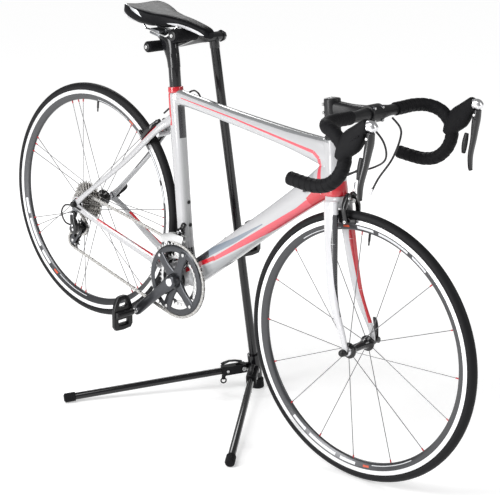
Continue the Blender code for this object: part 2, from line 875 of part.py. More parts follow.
def make_seatpost():
    """The seatpost, with a head that leans back, and the saddle's rails in its clamp."""
    back = Vector((-SEAT_UP.z, 0, SEAT_UP.x))
    shaft = rod(
        "seatpost",
        SEAT_TOP - SEAT_UP * SEATPOST_INSERT,
        SEAT_TOP + SEAT_UP * (SEATPOST_SHOWN - 0.050),
        SEATPOST_RADIUS,
        sides=28,
    )
    stations = []
    for height, front, rear, half_width in (
        (0.060, 0.0150, 0.0150, 0.0150),
        (0.085, 0.0155, 0.0240, 0.0150),
        (0.105, 0.0150, 0.0335, 0.0145),
        (0.120, 0.0110, 0.0400, 0.0140),
        (SEATPOST_SHOWN, -0.0060, 0.0550, 0.0130),
    ):
        centre = SEAT_TOP + back * ((rear - front) / 2)
        stations.append(along(centre, SEAT_UP, height, (rear + front) / 2, half_width))
    head = loft("post_head", stations, heading=SEAT_UP, power=2.6)
    clamp = SEAT_TOP + SEAT_UP * (SEATPOST_SHOWN + 0.0080) + back * 0.0400
    cradle = block("rail_cradle", clamp + Vector((0.002, 0, -0.002)), (0.040, 0.054, 0.015))
    union(shaft, [head, cradle], BIKE)

    rail_y = 0.0220
    grooves = []
    for y in (-rail_y, rail_y):
        grooves.append(
            rod("groove", (clamp.x - 0.030, y, clamp.z), (clamp.x + 0.030, y, clamp.z), RAIL_RADIUS + 2 * GAP, sides=12)
        )
    finish(cut(shaft, grooves, BIKE), BIKE, BLACK, SEAT_TOP)

    bend = FRONT_PAD_RADIUS + RAIL_RADIUS + 4 * GAP
    half_rail = [
        (clamp.x - 0.062, rail_y * 0.9, clamp.z + 0.034),
        (clamp.x - 0.054, rail_y, clamp.z + 0.016),
        (clamp.x - 0.036, rail_y, clamp.z),
        (clamp.x - 0.022, rail_y, clamp.z),
        (clamp.x + 0.000, rail_y, clamp.z),
        (clamp.x + 0.026, rail_y, clamp.z),
        (clamp.x + 0.044, rail_y, clamp.z + 0.003),
    ]
    for degrees, y in ((155, 0.9), (130, 0.8), (105, 0.65), (85, 0.5)):
        angle = math.radians(degrees)
        half_rail.append(
            (FRONT_ARM[0] + bend * math.cos(angle), rail_y * y, FRONT_ARM[1] + bend * math.sin(angle))
        )
    nose = [(FRONT_ARM[0] + 0.034, 0, FRONT_ARM[1] + bend + 0.002)]
    other = [(x, -y, z) for x, y, z in reversed(half_rail)]
    rails = wire("saddle_rails", half_rail + nose + other, RAIL_RADIUS, 2)
    finish(rails, BIKE, STEEL, SEAT_TOP)
    return clamp


def make_saddle(clamp):
    """The padded saddle: one closed body, hollow below for the rails."""
    base = clamp.z + 0.030
    saddle = loft(
        "saddle",
        [
            (clamp.x - 0.098, 0, base + 0.012, 0.0060, 0.0420),
            (clamp.x - 0.084, 0, base + 0.013, 0.0110, 0.0640),
            (clamp.x - 0.050, 0, base + 0.012, 0.0120, 0.0665),
            (clamp.x + 0.000, 0, base + 0.016, 0.0120, 0.0520),
            (clamp.x + 0.050, 0, base + 0.020, 0.0110, 0.0320),
            (clamp.x + 0.110, 0, base + 0.022, 0.0110, 0.0215),
            (clamp.x + 0.165, 0, base + 0.018, 0.0110, 0.0185),
            (clamp.x + 0.178, 0, base + 0.012, 0.0060, 0.0110),
        ],
        sides=20,
        power=2.6,
        heading=(1, 0, 0),
    )
    well = [
        block("rear_well", (clamp.x - 0.022, 0, base - 0.006), (0.120, 0.056, 0.037)),
        block("front_well", (clamp.x + 0.080, 0, base - 0.003), (0.100, 0.038, 0.040)),
    ]
    finish(cut(saddle, well, BIKE), BIKE, LEATHER, SEAT_TOP)


# ---------------------------------------------------------------- steering
def make_fork():
    steerer = rod(
        "fork", CROWN - STEER_UP * 0.012, HEAD_TOP + STEER_UP * -0.0015, STEERER_RADIUS, sides=24
    )
    crown = loft(
        "crown",
        [
            along(CROWN, STEER_UP, -GAP, 0.0260, 0.0270),
            along(CROWN + STEER_AHEAD * 0.002, STEER_UP, -0.010, 0.0250, 0.0335),
            along(CROWN + STEER_AHEAD * 0.003, STEER_UP, -0.022, 0.0210, 0.0380),
        ],
        heading=STEER_UP,
    )
    blades = []
    for side in (-1, 1):
        dropout = Vector((WHEELBASE, side * 0.0545, 0))
        shoulder = CROWN + STEER_AHEAD * 0.004 - STEER_UP * 0.012 + Vector((0, side * 0.0270, 0))
        knee = CROWN + STEER_AHEAD * 0.005 - STEER_UP * 0.100 + Vector((0, side * 0.0345, 0))
        shin = CROWN + STEER_AHEAD * 0.014 - STEER_UP * 0.240 + Vector((0, side * 0.0475, 0))
        blades.append(
            loft(
                "blade",
                [
                    (*shoulder, 0.0200, 0.0090),
                    (*knee, 0.0190, 0.0080),
                    (*shin, 0.0140, 0.0060),
                    (dropout.x - 0.010, side * 0.0540, 0.030, 0.0085, 0.0040),
                    (dropout.x + 0.002, dropout.y, -0.006, 0.0085, 0.0040),
                ],
                sides=12,
            )
        )
    finish(union(steerer, [crown, *blades], BIKE), BIKE, WHITE, CROWN)


def make_stem():
    spacers = rod("stem", HEAD_TOP + STEER_UP * 0.001, STEM_BASE + STEER_UP * 0.002, 0.0180)
    clamp = rod("stem_clamp", STEM_BASE, STEM_BASE + STEER_UP * STEM_HEIGHT, 0.0205)
    reach = (BAR - STEM_CENTRE).normalized()
    length = (BAR - STEM_CENTRE).length
    neck = loft(
        "stem_neck",
        [
            along(STEM_CENTRE, reach, 0.006, 0.0190, 0.0165),
            along(STEM_CENTRE, reach, length * 0.5, 0.0155, 0.0155),
            along(STEM_CENTRE, reach, length - 0.008, 0.0165, 0.0200),
        ],
    )
    barrel = rod(
        "bar_clamp", (BAR.x, -BAR_CLAMP_HALF, BAR.z), (BAR.x, BAR_CLAMP_HALF, BAR.z), 0.0215
    )
    union(spacers, [clamp, neck, barrel], BIKE)
    bore = rod("bar_bore", (BAR.x, -0.06, BAR.z), (BAR.x, 0.06, BAR.z), BAR_RADIUS + 2 * GAP)
    finish(cut(spacers, [bore], BIKE), BIKE, BLACK, HEAD_TOP)


def bar_route(side):
    """The centre line of one half of the drop bar, from the middle outwards."""
    route = [
        (0.000, 0.035, 0.000),
        (0.001, 0.105, 0.001),
        (0.004, 0.158, 0.003),
        (0.018, 0.192, 0.003),
        (0.045, 0.2035, 0.000),
        (0.072, 0.2050, -0.012),
        (0.090, 0.2055, -0.034),
        (0.094, 0.2060, -0.062),
        (0.085, 0.2065, -0.092),
        (0.063, 0.2070, -0.118),
        (0.030, 0.2072, -0.133),
        (-0.008, 0.2075, -0.139),
        (-0.042, 0.2075, -0.142),
    ]
    return [(BAR.x + x, side * y, BAR.z + z) for x, y, z in route]


def make_cockpit():
    points = bar_route(-1)[::-1] + bar_route(1)
    finish(wire("handlebar", points, BAR_RADIUS, 2), BIKE, PLASTIC, HEAD_TOP)
    pivots = {}
    for name, side in (("right", -1), ("left", 1)):
        y = side * 0.2060
        hood = loft(
            name + "_hood",
            [
                (BAR.x + 0.0940, y, BAR.z - 0.052, 0.0150, 0.0120),
                (BAR.x + 0.0965, y, BAR.z - 0.030, 0.0190, 0.0150),
                (BAR.x + 0.1080, y, BAR.z - 0.002, 0.0270, 0.0150),
                (BAR.x + 0.1200, y - side * 0.001, BAR.z + 0.024, 0.0200, 0.0150),
                (BAR.x + 0.1320, y - side * 0.002, BAR.z + 0.052, 0.0120, 0.0120),
            ],
        )
        room = wire("bar_room", bar_route(side), (BAR_RADIUS + 2 * GAP) * 1.085, 2)
        lever_room = block(
            "lever_room", (BAR.x + 0.150, y, BAR.z - 0.020), (0.030, 0.023, 0.100)
        )
        paddle_room = block(
            "paddle_room", (BAR.x + 0.132, y, BAR.z - 0.047), (0.032, 0.045, 0.056)
        )
        finish(cut(hood, [room, lever_room, paddle_room], BIKE), BIKE, RUBBER, HEAD_TOP)
        pivot = Vector((BAR.x + 0.146, y, BAR.z + 0.020))
        lever = loft(
            name + "_brake_lever",
            [
                (pivot.x + 0.0015, y, pivot.z + 0.008, 0.0085, 0.0100),
                (pivot.x + 0.0040, y, pivot.z - 0.022, 0.0085, 0.0090),
                (pivot.x + 0.0060, y + side * 0.003, pivot.z - 0.060, 0.0070, 0.0085),
                (pivot.x + 0.0060, y + side * 0.006, pivot.z - 0.100, 0.0060, 0.0080),
                (pivot.x + 0.0120, y + side * 0.008, pivot.z - 0.130, 0.0050, 0.0060),
            ],
            sides=12,
        )
        finish(lever, BIKE, BLACK, pivot)
        paddle = loft(
            name + "_shift_paddle",
            [
                (pivot.x - 0.0120, y - side * 0.003, pivot.z - 0.052, 0.0060, 0.0035),
                (pivot.x - 0.0105, y - side * 0.004, pivot.z - 0.075, 0.0070, 0.0060),
                (pivot.x - 0.0085, y - side * 0.003, pivot.z - 0.098, 0.0050, 0.0045),
            ],
            sides=12,
        )
        finish(paddle, BIKE, PLASTIC, pivot)
        pivots[name] = pivot
    return pivots


def caliper_arms(name, bolt, ahead, hub):
    """The two arms of a rim brake, one each side of the tyre."""
    ahead = Vector(ahead).normalized()
    inward = (hub - bolt).normalized()
    gap_to_pad = (bolt - hub).length - (RIM_RADIUS - 0.005)
    for label, side in (("right", -1), ("left", 1)):
        out = Vector((0, side, 0))
        pad = bolt + inward * gap_to_pad
        arm = loft(
            name + "_caliper_" + label,
            [
                (*(bolt + out * 0.0075 - inward * 0.014), 0.0055, 0.0070),
                (*(bolt + out * 0.0170 - inward * 0.004), 0.0065, 0.0070),
                (*(bolt + out * 0.0265 + inward * 0.014), 0.0055, 0.0065),
                (*(pad + out * 0.0245 - inward * 0.010), 0.0050, 0.0065),
                (*(pad + out * 0.0180 + inward * 0.002), 0.0060, 0.0080),
            ],
            side=ahead,
            sides=10,
        )
        finish(arm, BIKE, BLACK, bolt)


# ---------------------------------------------------------------- drivetrain
def make_cassette():
    """Eleven cogs as one stepped cone, with a groove for the chain."""
    large, small = 0.0585, 0.0225
    inner_y, outer_y = 0.0212, 0.0612
    groove = (CHAIN_LINE - CHAIN_HALF_WIDTH - 2 * GAP, CHAIN_LINE + CHAIN_HALF_WIDTH + 2 * GAP)

    def radius(y):
        return large + (small - large) * (y - inner_y) / (outer_y - inner_y)

    root = pitch_radius(COG_TEETH) - CHAIN_HALF_HEIGHT - GAP
    profile = [
        (0.0172, -inner_y),
        (radius(inner_y), -inner_y),
        (radius(groove[0]), -groove[0]),
        (root, -groove[0]),
        (root, -groove[1]),
        (radius(groove[1]), -groove[1]),
        (radius(outer_y), -outer_y),
        (0.0172, -outer_y),
    ]
    finish(ring("cassette", profile, (0, 0, 0), (0, 1, 0), 32), BIKE, STEEL)


def make_cranks():
    big = pitch_radius(RING_TEETH) - CHAIN_HALF_HEIGHT - 3 * GAP
    small = pitch_radius(SMALL_RING_TEETH) - CHAIN_HALF_HEIGHT - GAP
    ring_y = CHAIN_LINE + 0.0004
    rings = ring(
        "right_crank",
        [
            (big, -ring_y + 0.0016),
            (big, -ring_y - 0.0016),
            (big - 0.014, -ring_y - 0.0050),
            (big - 0.022, -ring_y - 0.0050),
            (big - 0.022, -ring_y + 0.0035),
            (small - 0.008, -ring_y + 0.0075),
            (small, -ring_y + 0.0075),
            (small, -ring_y + 0.0050),
            (big - 0.018, -ring_y + 0.0016),
        ],
        BB,
        (0, 1, 0),
        48,
    )
    pivot_y = (CRANK_INNER + CRANK_OUTER) / 2
    half = (CRANK_OUTER - CRANK_INNER) / 2
    extras = []
    for quarter in (0, 1):
        turn = Matrix.Rotation(-CRANK_ANGLE - math.radians(28 + 66 * quarter), 3, "Y")
        centre = BB + Vector((0, -ring_y - 0.0035, 0))
        extras.append(block("spider", centre, (2 * big - 0.030, 0.0060, 0.0170), turn))
    extras.append(
        rod("crank_boss", (BB.x, -0.0385, BB.z), (BB.x, -CRANK_OUTER, BB.z), 0.0210, sides=24)
    )
    extras.append(crank_arm("right_arm", CRANK_OUT, -pivot_y, half))
    extras.append(
        rod("axle", (BB.x, -0.050, BB.z), (BB.x, CRANK_INNER - 0.004, BB.z), AXLE_RADIUS, sides=24)
    )
    finish(union(rings, extras, BIKE), BIKE, GREY, BB)

    left = crank_arm("left_crank", -CRANK_OUT, pivot_y, half)
    boss = rod(
        "left_boss",
        (BB.x, CRANK_INNER - 0.004 + GAP, BB.z),
        (BB.x, CRANK_OUTER, BB.z),
        0.0190,
        sides=24,
    )
    finish(union(left, [boss], BIKE), BIKE, GREY, BB)


def crank_arm(name, direction, y, half):
    centre = Vector((BB.x, y, BB.z))
    return loft(
        name,
        [
            along(centre, direction, -0.012, 0.0150, half),
            along(centre, direction, 0.020, 0.0165, half),
            along(centre, direction, 0.085, 0.0140, half * 0.95),
            along(centre, direction, CRANK - 0.010, 0.0145, half * 0.85),
            along(centre, direction, CRANK + 0.012, 0.0090, half * 0.80),
        ],
        power=2.8,
    )


def make_pedal(name, direction, side):
    """A clipless pedal hanging nose-up on its spindle; side is -1 on the right."""
    pivot = BB + Vector(direction) * CRANK
    pivot.y = side * (CRANK_OUTER + GAP)
    nose, tail = 0.050, 0.046
    middle = side * (PEDAL_OUTER - 0.034)
    half = 0.034
    body = block(name, (0.002, middle, 0.0085), (nose + tail, 2 * half, 0.011))
    waist = [
        block("side_cut", (nose - 0.010, middle + half, 0.0085), (0.060, 0.030, 0.030), turn_z(-28)),
        block("side_cut", (nose - 0.010, middle - half, 0.0085), (0.060, 0.030, 0.030), turn_z(28)),
        block("toe_hole", (0.030, middle, 0.0085), (0.020, 0.024, 0.030)),
        block("tail_hole", (-0.024, middle, 0.0085), (0.018, 0.036, 0.030)),
    ]
    barrel = rod(
        "barrel", (0, side * (CRANK_OUTER + 0.010), 0), (0, side * (PEDAL_OUTER - 0.004), 0), 0.0095
    )
    spindle = rod("spindle", (0, pivot.y, 0), (0, side * (CRANK_OUTER + 0.012), 0), 0.0060)
    hang = Matrix.Rotation(-PEDAL_NOSE_UP - PITCH, 4, "Y")
    place = Matrix.Translation((pivot.x, 0, pivot.z)) @ hang
    for item in (body, *waist, barrel, spindle):
        item.data.transform(place)
    cut(body, waist, BIKE)
    union(body, [barrel, spindle], BIKE)
    finish(body, BIKE, PLASTIC, pivot)
    return pivot


def turn_z(degrees):
    return Matrix.Rotation(math.radians(degrees), 3, "Z")


def chain_wheels():
    return [
        ((BB.x, BB.z), pitch_radius(RING_TEETH), 1),
        ((0, 0), pitch_radius(COG_TEETH), 1),
        (GUIDE_PULLEY, pitch_radius(PULLEY_TEETH), -1),
        (TENSION_PULLEY, pitch_radius(PULLEY_TEETH), 1),
    ]


def make_chain():
    wheels = chain_wheels()
    outside = chain_loop(wheels, CHAIN_HALF_HEIGHT)
    inside = chain_loop(wheels, -CHAIN_HALF_HEIGHT)
    chain = plate(
        "chain",
        [outside, inside],
        -CHAIN_LINE + CHAIN_HALF_WIDTH,
        -CHAIN_LINE - CHAIN_HALF_WIDTH,
    )
    finish(chain, BIKE, STEEL)


def make_front_derailleur():
    """The cage of two curved plates that the upper chain run passes through."""
    clear = pitch_radius(RING_TEETH) + 0.0065
    first, last = math.radians(88), math.radians(128)

    def arc(radius, backwards=False):
        angles = [first + (last - first) * i / 8 for i in range(9)]
        if backwards:
            angles.reverse()
        return [(BB.x + radius * math.cos(a), BB.z + radius * math.sin(a)) for a in angles]

    outline = arc(clear) + arc(clear + 0.022, True)
    outer_y = -CHAIN_LINE - 0.0062
    inner_y = -CHAIN_LINE + 0.0062
    cage = plate("front_derailleur", [outline], outer_y + 0.0012, outer_y)
    inner = plate("cage_inner", [outline], inner_y + 0.0012, inner_y)
    bridges = []
    for angle, radius in ((first + 0.05, clear + 0.0195), (last - 0.05, clear + 0.0030)):
        place = (BB.x + radius * math.cos(angle), 0, BB.z + radius * math.sin(angle))
        bridges.append(
            rod("bridge", (place[0], outer_y + 0.0005, place[2]), (place[0], inner_y + 0.001, place[2]), 0.0022, sides=8)
        )
    body = block(
        "shift_body",
        (BB.x + (clear + 0.017) * math.cos(math.radians(101)), inner_y + 0.0055, BB.z + (clear + 0.020) * math.sin(math.radians(101))),
        (0.022, 0.0110, 0.020),
    )
    finish(union(cage, [inner, *bridges, body], BIKE), BIKE, STEEL)


def capsule(start, end, radius, sides=9):
    """The outline of a link with round ends."""
    start, end = Vector(start), Vector(end)
    heading = math.atan2(end.y - start.y, end.x - start.x)
    points = []
    for centre, turn in ((start, math.pi / 2), (end, -math.pi / 2)):
        for i in range(sides):
            angle = heading + turn + math.pi * i / (sides - 1)
            points.append((centre.x + radius * math.cos(angle), centre.y + radius * math.sin(angle)))
    return points


def make_rear_derailleur():
    guide, tension = Vector(GUIDE_PULLEY), Vector(TENSION_PULLEY)
    outer = CHAIN_LINE + 0.0052
    inner = CHAIN_LINE - 0.0052
    cage = plate("derailleur_cage", [capsule(guide, tension, 0.0115)], -outer, -outer - 0.0018)
    plate_inner = plate("cage_plate", [capsule(guide, tension, 0.0105)], -inner, -inner + 0.0015)
    pins = []
    for centre in (guide, tension):
        pins.append(
            rod("pin", (centre.x, -outer - 0.001, centre.y), (centre.x, -inner + 0.001, centre.y), 0.0030, sides=12)
        )
    pivot = Vector((guide.x, -CHAIN_LINE, guide.y))
    finish(union(cage, [plate_inner, *pins], BIKE), BIKE, GREY, pivot)

    root = pitch_radius(PULLEY_TEETH) - CHAIN_HALF_HEIGHT - GAP
    for name, centre in (("guide_pulley", guide), ("tension_pulley", tension)):
        place = Vector((centre.x, -CHAIN_LINE, centre.y))
        profile = [(0.0034, 0.0024), (root, 0.0012), (root, -0.0012), (0.0034, -0.0024)]
        finish(ring(name, profile, place, (0, 1, 0), 22), BIKE, PLASTIC, place)

    link_y = -0.0790
    body = loft(
        "rear_derailleur",
        [
            (0.0060, link_y, -0.0320, 0.0090, 0.0050),
            (0.0130, link_y - 0.001, -0.0480, 0.0115, 0.0070),
            (0.0200, link_y + 0.002, -0.0640, 0.0120, 0.0080),
            (0.0185, link_y + 0.006, -0.0790, 0.0090, 0.0080),
        ],
        sides=12,
    )
    knuckle = rod("knuckle", (guide.x, link_y - 0.004, guide.y), (guide.x, -outer - 0.0018 - GAP, guide.y), 0.0125)
    finish(union(body, [knuckle], BIKE), BIKE, BLACK, pivot)


# ---------------------------------------------------------------- cables
def make_cables():
    front = [
        (BAR.x + 0.024, 0.046, BAR.z - 0.008),
        (BAR.x + 0.060, 0.040, BAR.z - 0.030),
        (BAR.x + 0.062, 0.026, BAR.z - 0.090),
        (BAR.x + 0.040, 0.018, BAR.z - 0.150),
        (BAR.x + 0.030, 0.015, BAR.z - 0.190),
    ]
    finish(wire("front_brake_cable", front, 0.0025), BIKE, PLASTIC, HEAD_TOP)
    rear = [
        (BAR.x + 0.024, -0.046, BAR.z - 0.008),
        (BAR.x + 0.066, -0.034, BAR.z - 0.040),
        (BAR.x + 0.060, 0.000, BAR.z - 0.090),
        (BAR.x + 0.010, 0.034, BAR.z - 0.136),
        (BAR.x - 0.060, 0.042, BAR.z - 0.180),
        (BAR.x - 0.116, 0.030, BAR.z - 0.228),
    ]
    finish(wire("rear_brake_cable", rear, 0.0025), BIKE, PLASTIC, HEAD_TOP)
    gear = [
        (BAR.x + 0.018, -0.056, BAR.z - 0.018),
        (BAR.x + 0.046, -0.052, BAR.z - 0.060),
        (BAR.x + 0.030, -0.046, BAR.z - 0.115),
        (BAR.x - 0.020, -0.044, BAR.z - 0.160),
        (BAR.x - 0.070, -0.040, BAR.z - 0.194),
        (BAR.x - 0.116, -0.030, BAR.z - 0.228),
    ]
    finish(wire("gear_cable", gear, 0.0025), BIKE, PLASTIC, HEAD_TOP)


# ---------------------------------------------------------------- build
clear_scene()
PARTS = new_collection("bicycle_on_stand")
CUTTERS = new_collection("cutters")

BLACK = paint("gloss_black", (0.012, 0.012, 0.013), 0.25)
PLASTIC = paint("black_plastic", (0.022, 0.022, 0.024), 0.55)
RUBBER = paint("black_rubber", (0.020, 0.020, 0.021), 0.75)
FOAM = paint("black_foam", (0.015, 0.015, 0.016), 0.90)
WHITE = paint("white_lacquer", (0.80, 0.80, 0.82), 0.20)
RED = paint("red_lacquer", (0.45, 0.010, 0.020), 0.25)
GREY = paint("dark_grey_anodised", (0.075, 0.078, 0.085), 0.35, 0.8)
STEEL = paint("polished_steel", (0.55, 0.55, 0.55), 0.30, 1.0)
ALUMINIUM = paint("machined_aluminium", (0.60, 0.60, 0.62), 0.35, 1.0)
LEATHER = paint("black_leather", (0.018, 0.018, 0.020), 0.50)

STAND = empty("stand_frame", (-CENTRE_X, -CENTRE_Y, 0))
BIKE = empty("bike_frame", (-CENTRE_X, -CENTRE_Y, REAR_HUB_HEIGHT), PITCH)

make_mast()
make_support()
make_leg_hub()
REAR_LEG = make_leg("rear_leg", -1)
FRONT_LEG = make_leg("front_leg", 1)

make_wheels()
FRONT_QR = quick_release("front_qr_lever", FRONT_HUB, 0.0590, (-0.35, 0, 0.937))
REAR_QR = quick_release("rear_qr_lever", Vector((0, 0, 0)), 0.0740, (0.62, 0, 0.785))

make_front_triangle()
make_stays("right_stays", -1)
make_stays("left_stays", 1)
CLAMP = make_seatpost()
make_saddle(CLAMP)

make_fork()
make_stem()
LEVER_PIVOTS = make_cockpit()
FRONT_BOLT = CROWN + STEER_AHEAD * 0.042 - STEER_UP * 0.008
STAY_UP = (SEAT_TOP - SEAT_UP * 0.094).normalized()
STAY_BACK = Vector((-STAY_UP.z, 0, STAY_UP.x))
REAR_BOLT = STAY_UP * 0.370 + STAY_BACK * 0.032
caliper_arms("front", FRONT_BOLT, STEER_AHEAD, FRONT_HUB)
caliper_arms("rear", REAR_BOLT, STAY_BACK, Vector((0, 0, 0)))

make_cassette()
make_cranks()
RIGHT_PEDAL = make_pedal("right_pedal", CRANK_OUT, -1)
LEFT_PEDAL = make_pedal("left_pedal", -CRANK_OUT, 1)
make_chain()
make_front_derailleur()
make_rear_derailleur()
make_cables()
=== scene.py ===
"""Looks of a road bicycle hung by its saddle on a folding one-mast stand."""

import json
from math import asin, atan2, ceil, copysign, cos, pi, radians, sin

import bmesh
import bpy
from mathutils import Matrix, Vector


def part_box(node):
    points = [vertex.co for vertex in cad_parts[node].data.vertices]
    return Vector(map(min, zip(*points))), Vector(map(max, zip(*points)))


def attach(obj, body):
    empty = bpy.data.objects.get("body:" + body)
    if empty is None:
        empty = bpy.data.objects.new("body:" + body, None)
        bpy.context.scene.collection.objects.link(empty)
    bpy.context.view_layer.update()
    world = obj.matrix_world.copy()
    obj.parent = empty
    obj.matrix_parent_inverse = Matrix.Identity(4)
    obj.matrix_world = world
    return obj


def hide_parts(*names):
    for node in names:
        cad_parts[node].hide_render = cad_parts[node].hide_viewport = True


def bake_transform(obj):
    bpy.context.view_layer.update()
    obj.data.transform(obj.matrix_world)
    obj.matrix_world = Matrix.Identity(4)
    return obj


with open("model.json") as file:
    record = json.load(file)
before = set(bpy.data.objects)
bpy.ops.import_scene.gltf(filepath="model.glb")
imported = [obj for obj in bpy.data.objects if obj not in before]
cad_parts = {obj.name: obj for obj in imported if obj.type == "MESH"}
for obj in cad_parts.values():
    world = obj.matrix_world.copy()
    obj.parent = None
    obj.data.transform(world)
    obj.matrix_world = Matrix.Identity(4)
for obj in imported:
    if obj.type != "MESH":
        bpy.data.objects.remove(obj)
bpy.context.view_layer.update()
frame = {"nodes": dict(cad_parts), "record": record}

JOINTS = {joint["name"]: joint for joint in frame["record"]["behaviour"]["joints"]}
MOUNTS = {mount["name"]: mount for mount in frame["record"]["mounts"]}


def joint_place(name):
    return Vector(JOINTS[name]["pos_m"])


# ---------------------------------------------------------------- places
REAR = joint_place("rear_wheel_spin")
AHEAD = joint_place("front_wheel_spin") - REAR
PITCH = atan2(-AHEAD.z, AHEAD.x)
BIKE = Matrix.Translation(REAR) @ Matrix.Rotation(PITCH, 4, "Y")
ROW = Matrix.Identity(4)
ACROSS = (0, 1, 0)


def mid_plane(place):
    """The place, moved to the bicycle's middle plane."""
    return (place.x, 0, place.z)


def in_bike(name):
    return BIKE.inverted() @ joint_place(name)


def bike_axis(name):
    return BIKE.inverted().to_3x3() @ Vector(JOINTS[name]["axis"])


FRONT_HUB = in_bike("front_wheel_spin")
REAR_HUB = Vector((0, 0, 0))
BB = in_bike("pedalling")
CROWN = in_bike("steer")
STEER_UP = bike_axis("steer").normalized()
STEER_AHEAD = Vector((STEER_UP.z, 0, -STEER_UP.x))
SEAT_UP = bike_axis("saddle_height").normalized()
SEAT_BACK = Vector((-SEAT_UP.z, 0, SEAT_UP.x))
RIGHT_PEDAL = in_bike("right_pedal_spin")
LEFT_PEDAL = in_bike("left_pedal_spin")
GUIDE = in_bike("guide_pulley_spin")
TENSION = in_bike("tension_pulley_spin")

SEAT_TUBE = 0.514
SEAT_TOP = BB + SEAT_UP * SEAT_TUBE
HEAD_TUBE = 0.14
HEAD_TOP = CROWN + STEER_UP * HEAD_TUBE
STEM_BASE = HEAD_TOP + STEER_UP * 0.05
STEM_CENTRE = STEM_BASE + STEER_UP * 0.021
BAR = STEM_CENTRE + Vector((0.116, 0, 0.026))
FRONT_BOLT = in_bike("front_pad_right")
REAR_BOLT = in_bike("rear_pad_right")
STAY_UP = (SEAT_TOP - SEAT_UP * 0.094).normalized()
STAY_BACK = Vector((-STAY_UP.z, 0, STAY_UP.x))

WHEEL_RADIUS = 0.3355
TYRE_RADIUS = 0.0122
RIM_RADIUS = 0.3165
CHAIN_PITCH = 0.0127
CHAIN_LINE = -TENSION.y
RING_TEETH, SMALL_RING_TEETH, COG_TEETH, PULLEY_TEETH = 50, 34, 15, 11
CRANK = (RIGHT_PEDAL - BB).xz.length

MAST_FOOT = Vector(MOUNTS["mast_foot_base"]["pos_m"])
FRONT_PAD = [Vector(corner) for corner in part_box("front_pad")]
REAR_PAD = [Vector(corner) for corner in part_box("rear_pad")]
HEAD_BOX = [Vector(corner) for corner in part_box("mast_head")]
MAST_RADIUS = 0.0123
BARREL_Z = HEAD_BOX[1].z - 0.0165
BARREL_NEAR = HEAD_BOX[0].y
MAST_TOP = Vector((MAST_FOOT.x, BARREL_NEAR + 0.034, BARREL_Z))
MAST_UP = (MAST_TOP - MAST_FOOT).normalized()


# ---------------------------------------------------------------- materials
def link(tree, source, target):
    tree.links.new(source, target)


def node(tree, kind, **values):
    made = tree.nodes.new(kind)
    for key, value in values.items():
        setattr(made, key, value)
    return made


def math_node(tree, operation, *inputs):
    made = node(tree, "ShaderNodeMath", operation=operation)
    for slot, value in zip(made.inputs, inputs):
        if isinstance(value, (int, float)):
            slot.default_value = value
        else:
            link(tree, value, slot)
    return made.outputs[0]


def paint(name, colour, rough, metal=0.0, coat=0.0, grain=0.06, scale=60.0, bump=0.0, sheen=0.0, gloss=0.5):
    """A surface with a slightly uneven roughness, and a fine relief if bump is given."""
    made = bpy.data.materials.new(name)
    made.use_nodes = True
    tree = made.node_tree
    shader = tree.nodes["Principled BSDF"]
    shader.inputs["Base Color"].default_value = (*colour, 1)
    shader.inputs["Metallic"].default_value = metal
    shader.inputs["Coat Weight"].default_value = coat
    shader.inputs["Coat Roughness"].default_value = 0.08
    shader.inputs["Sheen Weight"].default_value = sheen
    shader.inputs["Specular IOR Level"].default_value = gloss
    place = node(tree, "ShaderNodeTexCoord").outputs["Object"]
    noise = node(tree, "ShaderNodeTexNoise")
    noise.inputs["Scale"].default_value = scale
    noise.inputs["Detail"].default_value = 4
    link(tree, place, noise.inputs["Vector"])
    spread = math_node(tree, "MULTIPLY_ADD", noise.outputs["Fac"], 2 * grain, rough - grain)
    link(tree, spread, shader.inputs["Roughness"])
    if bump:
        relief = node(tree, "ShaderNodeBump")
        relief.inputs["Strength"].default_value = bump
        relief.inputs["Distance"].default_value = 0.0006
        fine = node(tree, "ShaderNodeTexNoise")
        fine.inputs["Scale"].default_value = scale * 12
        fine.inputs["Detail"].default_value = 3
        link(tree, place, fine.inputs["Vector"])
        link(tree, fine.outputs["Fac"], relief.inputs["Height"])
        link(tree, relief.outputs["Normal"], shader.inputs["Normal"])
    return made


def segment_mask(tree, x, z, start, end, first, last):
    """1 within a tapering band round a straight line in the bicycle's side view."""
    start, end = Vector(start), Vector(end)
    run = end - start
    along, across = run.normalized(), Vector((-run.y, run.x)).normalized()
    dx = math_node(tree, "SUBTRACT", x, start.x)
    dz = math_node(tree, "SUBTRACT", z, start.y)
    share = math_node(
        tree, "ADD", math_node(tree, "MULTIPLY", dx, along.x / run.length),
        math_node(tree, "MULTIPLY", dz, along.y / run.length),
    )
    off = math_node(
        tree, "ABSOLUTE",
        math_node(
            tree, "ADD", math_node(tree, "MULTIPLY", dx, across.x),
            math_node(tree, "MULTIPLY", dz, across.y),
        ),
    )
    half = math_node(tree, "MULTIPLY_ADD", share, last - first, first)
    inside = math_node(tree, "LESS_THAN", off, half)
    after = math_node(tree, "GREATER_THAN", share, 0.0)
    before = math_node(tree, "LESS_THAN", share, 1.0)
    return math_node(tree, "MULTIPLY", inside, math_node(tree, "MULTIPLY", after, before))


LACQUER = {"rough": 0.18, "coat": 0.8, "grain": 0.02}


